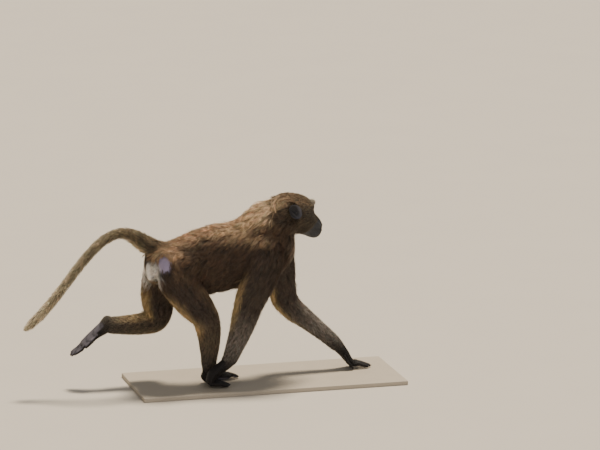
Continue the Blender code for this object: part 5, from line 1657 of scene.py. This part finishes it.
def callus():
    """Callused hide of the seat pads: pale grey made near white as painted sunlight, cracked into small
    plates, dry and matt.
    """
    made, tree, shader, place = material("callused_hide")
    cells = add(tree, "ShaderNodeTexVoronoi", {
        "Vector": place, "Scale": repeats(2.38)}, feature="DISTANCE_TO_EDGE")
    blotch = add(tree, "ShaderNodeTexNoise", {"Vector": place, "Scale": repeats(9.1), "Detail": 3.0})
    line = add(tree, "ShaderNodeMapRange", {"Value": cells.outputs["Distance"], "From Max": 0.10,
                                            "To Min": 0.55, "To Max": 1.0})
    # The near white of the pads is partly their pale grey and partly painted sunlight.
    colour = scaled(tree, rgba("#F0EAE4")[:3], 0.72, 1.15, blotch.outputs["Fac"])
    colour = add(tree, "ShaderNodeVectorMath", {0: colour, "Scale": line.outputs[0]},
                 operation="SCALE").outputs[0]
    tree.links.new(colour, shader.inputs["Base Color"])
    bump = add(tree, "ShaderNodeBump", {"Height": line.outputs[0], "Strength": 0.5, "Distance": 0.5 * MM})
    tree.links.new(bump.outputs[0], shader.inputs["Normal"])
    shader.inputs["Roughness"].default_value = 0.60
    shader.inputs["Specular IOR Level"].default_value = 0.35
    return made


def painted_board():
    """Matt pale paint rolled on a board: a fine stipple, slightly uneven in tone and gloss."""
    made, tree, shader, place = material("matt_painted_board")
    stipple = add(tree, "ShaderNodeTexNoise", {"Vector": place, "Scale": repeats(1.11), "Detail": 3.0})
    patch = add(tree, "ShaderNodeTexNoise", {"Vector": place, "Scale": repeats(71.0), "Detail": 4.0})
    colour = scaled(tree, rgba("#B9AE9C")[:3], 0.93, 1.05, patch.outputs["Fac"])
    tree.links.new(colour, shader.inputs["Base Color"])
    bump = add(tree, "ShaderNodeBump", {
        "Height": stipple.outputs["Fac"], "Strength": 0.25, "Distance": 0.2 * MM})
    tree.links.new(bump.outputs[0], shader.inputs["Normal"])
    rough = add(tree, "ShaderNodeMapRange", {"Value": patch.outputs["Fac"], "To Min": 0.55, "To Max": 0.68})
    tree.links.new(rough.outputs[0], shader.inputs["Roughness"])
    return made


# Half width of the studio floor in metres.
FLOOR_HALF = 30.0


def studio_floor():
    """A pale matt floor under and behind the model."""
    made, tree, shader, place = material("pale_floor")
    patch = add(tree, "ShaderNodeTexNoise", {"Vector": place, "Scale": repeats(333.0), "Detail": 4.0})
    colour = scaled(tree, rgba("#CFC8BC")[:3], 0.97, 1.02, patch.outputs["Fac"])
    tree.links.new(colour, shader.inputs["Base Color"])
    shader.inputs["Roughness"].default_value = 0.75
    shader.inputs["Specular IOR Level"].default_value = 0.2
    half = FLOOR_HALF
    corners = [(-half, -half, 0), (half, -half, 0), (half, half, 0), (-half, half, 0)]
    floor = mesh_object("studio_floor", corners, [(0, 1, 2, 3)])
    set_places(floor, places_of(floor) - np.array((0, 0, 0.5 * MM)))
    floor.data.materials.append(made)


def dress(obj, finish, slot_name, *nodes):
    """Give a piece its material, its body and the solids that it stands for; the slot's name is not used."""
    obj.data.materials.clear()
    obj.data.materials.append(finish)
    if nodes:
        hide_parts(*nodes)
    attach(obj, "root")


def aim(obj, target):
    """Turn a camera or light to a place."""
    obj.rotation_euler = (Vector(target) - obj.location).to_track_quat("-Z", "Y").to_euler()


# Lights: name, where it shines from, strength, angle across in degrees, colour.
LIGHTS = (
    ("key", (1.0, 1.3, 5.0), 4.9, 12, "#FFF1DC"),
    ("fill", (1.5, -6.0, 2.5), 0.45, 50, "#EEF0FF"),
)


def sky_and_lights():
    """A key high above and a little behind, a weak fill from the camera's side, and a pale room."""
    world = bpy.data.worlds.new("room")
    bpy.context.scene.world = world
    world.use_nodes = True
    back = world.node_tree.nodes["Background"]
    back.inputs["Color"].default_value = rgba("#E6E2DC")
    back.inputs["Strength"].default_value = 0.40
    for name, place, energy, spread, code in LIGHTS:
        light = bpy.data.lights.new(name, "SUN")
        light.energy = energy
        light.angle = math.radians(spread)
        light.color = linear(code)
        obj = bpy.data.objects.new(name, light)
        bpy.context.collection.objects.link(obj)
        obj.location = place
        aim(obj, (0, 0, 0.3))


# The photograph's view: its angles, the place at its middle, the distance and the width seen there.
VIEW_TURN = -15.0
VIEW_TILT = 12.0
VIEW_AT = (0.1291, 0.010, 0.5354)
VIEW_DISTANCE = 12.0
VIEW_WIDTH = 600 * 3.4 * MM


def photo_camera():
    """A camera at the photograph's angle and framing, far off with a long lens."""
    data = bpy.data.cameras.new("photo_camera")
    camera = bpy.data.objects.new("photo_camera", data)
    bpy.context.collection.objects.link(camera)
    turn, tilt = math.radians(VIEW_TURN), math.radians(VIEW_TILT)
    away = Vector((math.sin(turn) * math.cos(tilt), -math.cos(turn) * math.cos(tilt), math.sin(tilt)))
    camera.location = Vector(VIEW_AT) + away * VIEW_DISTANCE
    aim(camera, VIEW_AT)
    data.sensor_width = 36.0
    data.lens = data.sensor_width * VIEW_DISTANCE / VIEW_WIDTH
    data.clip_end = 200.0
    bpy.context.scene.camera = camera


# The model is put together from here on.
skin = skin_object()
skin_points = places_of(skin)
skin_normals = normals_of(skin)
skin_coat = coat_at(skin_points, skin_normals)
paint(skin, skin_colour(skin_points, skin_normals, skin_coat))
coats = grow_coat(skin, skin_coat, np.random.default_rng(SEED))
set_places(skin, skin_points + ORIGIN)
skin.data.shade_smooth()

hide = bare_hide()
flesh = [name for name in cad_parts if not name.startswith(("eye", "ear", "seat_pad", "stand"))]
dress(skin, hide, "bare_skin", *flesh)
for ear_side, ear_name in ((1, "ear_l"), (-1, "ear_r")):
    ear = ear_object(ear_side, "visual_" + ear_name)
    set_places(ear, places_of(ear) + ORIGIN)
    ear.data.shade_smooth()
    # The ear is painted darker towards its inner bowl, as painted shade in the hollow.
    hollow = blend_rise(0.0595 - np.abs(in_head(places_of(ear) - ORIGIN)[:, 1]), 0.0, 0.008)[:, None]
    paint(ear, linear(EAR_TONE) * (1 - hollow) + linear(EAR_HOLLOW_SHADE_TONE) * hollow)
    dress(ear, hide, "bare_skin", ear_name)
fur = guard_hair()
for piece in coats:
    dress(piece, fur, "coat")
eye_finish = eye_glass()
pad_finish = callus()
for pair_side, suffix in ((1, "_l"), (-1, "_r")):
    dress(eye_ball(pair_side, "visual_eye" + suffix), eye_finish, "eye", "eye" + suffix)
    dress(seat_pad(pair_side, "visual_seat_pad" + suffix), pad_finish, "seat_pad", "seat_pad" + suffix)
nail_finish = horn()
dress(nails_object(nail_finish), nail_finish, "bare_skin")
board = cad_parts["stand_base"]
dress(board, painted_board(), "base")
studio_floor()
sky_and_lights()
photo_camera()
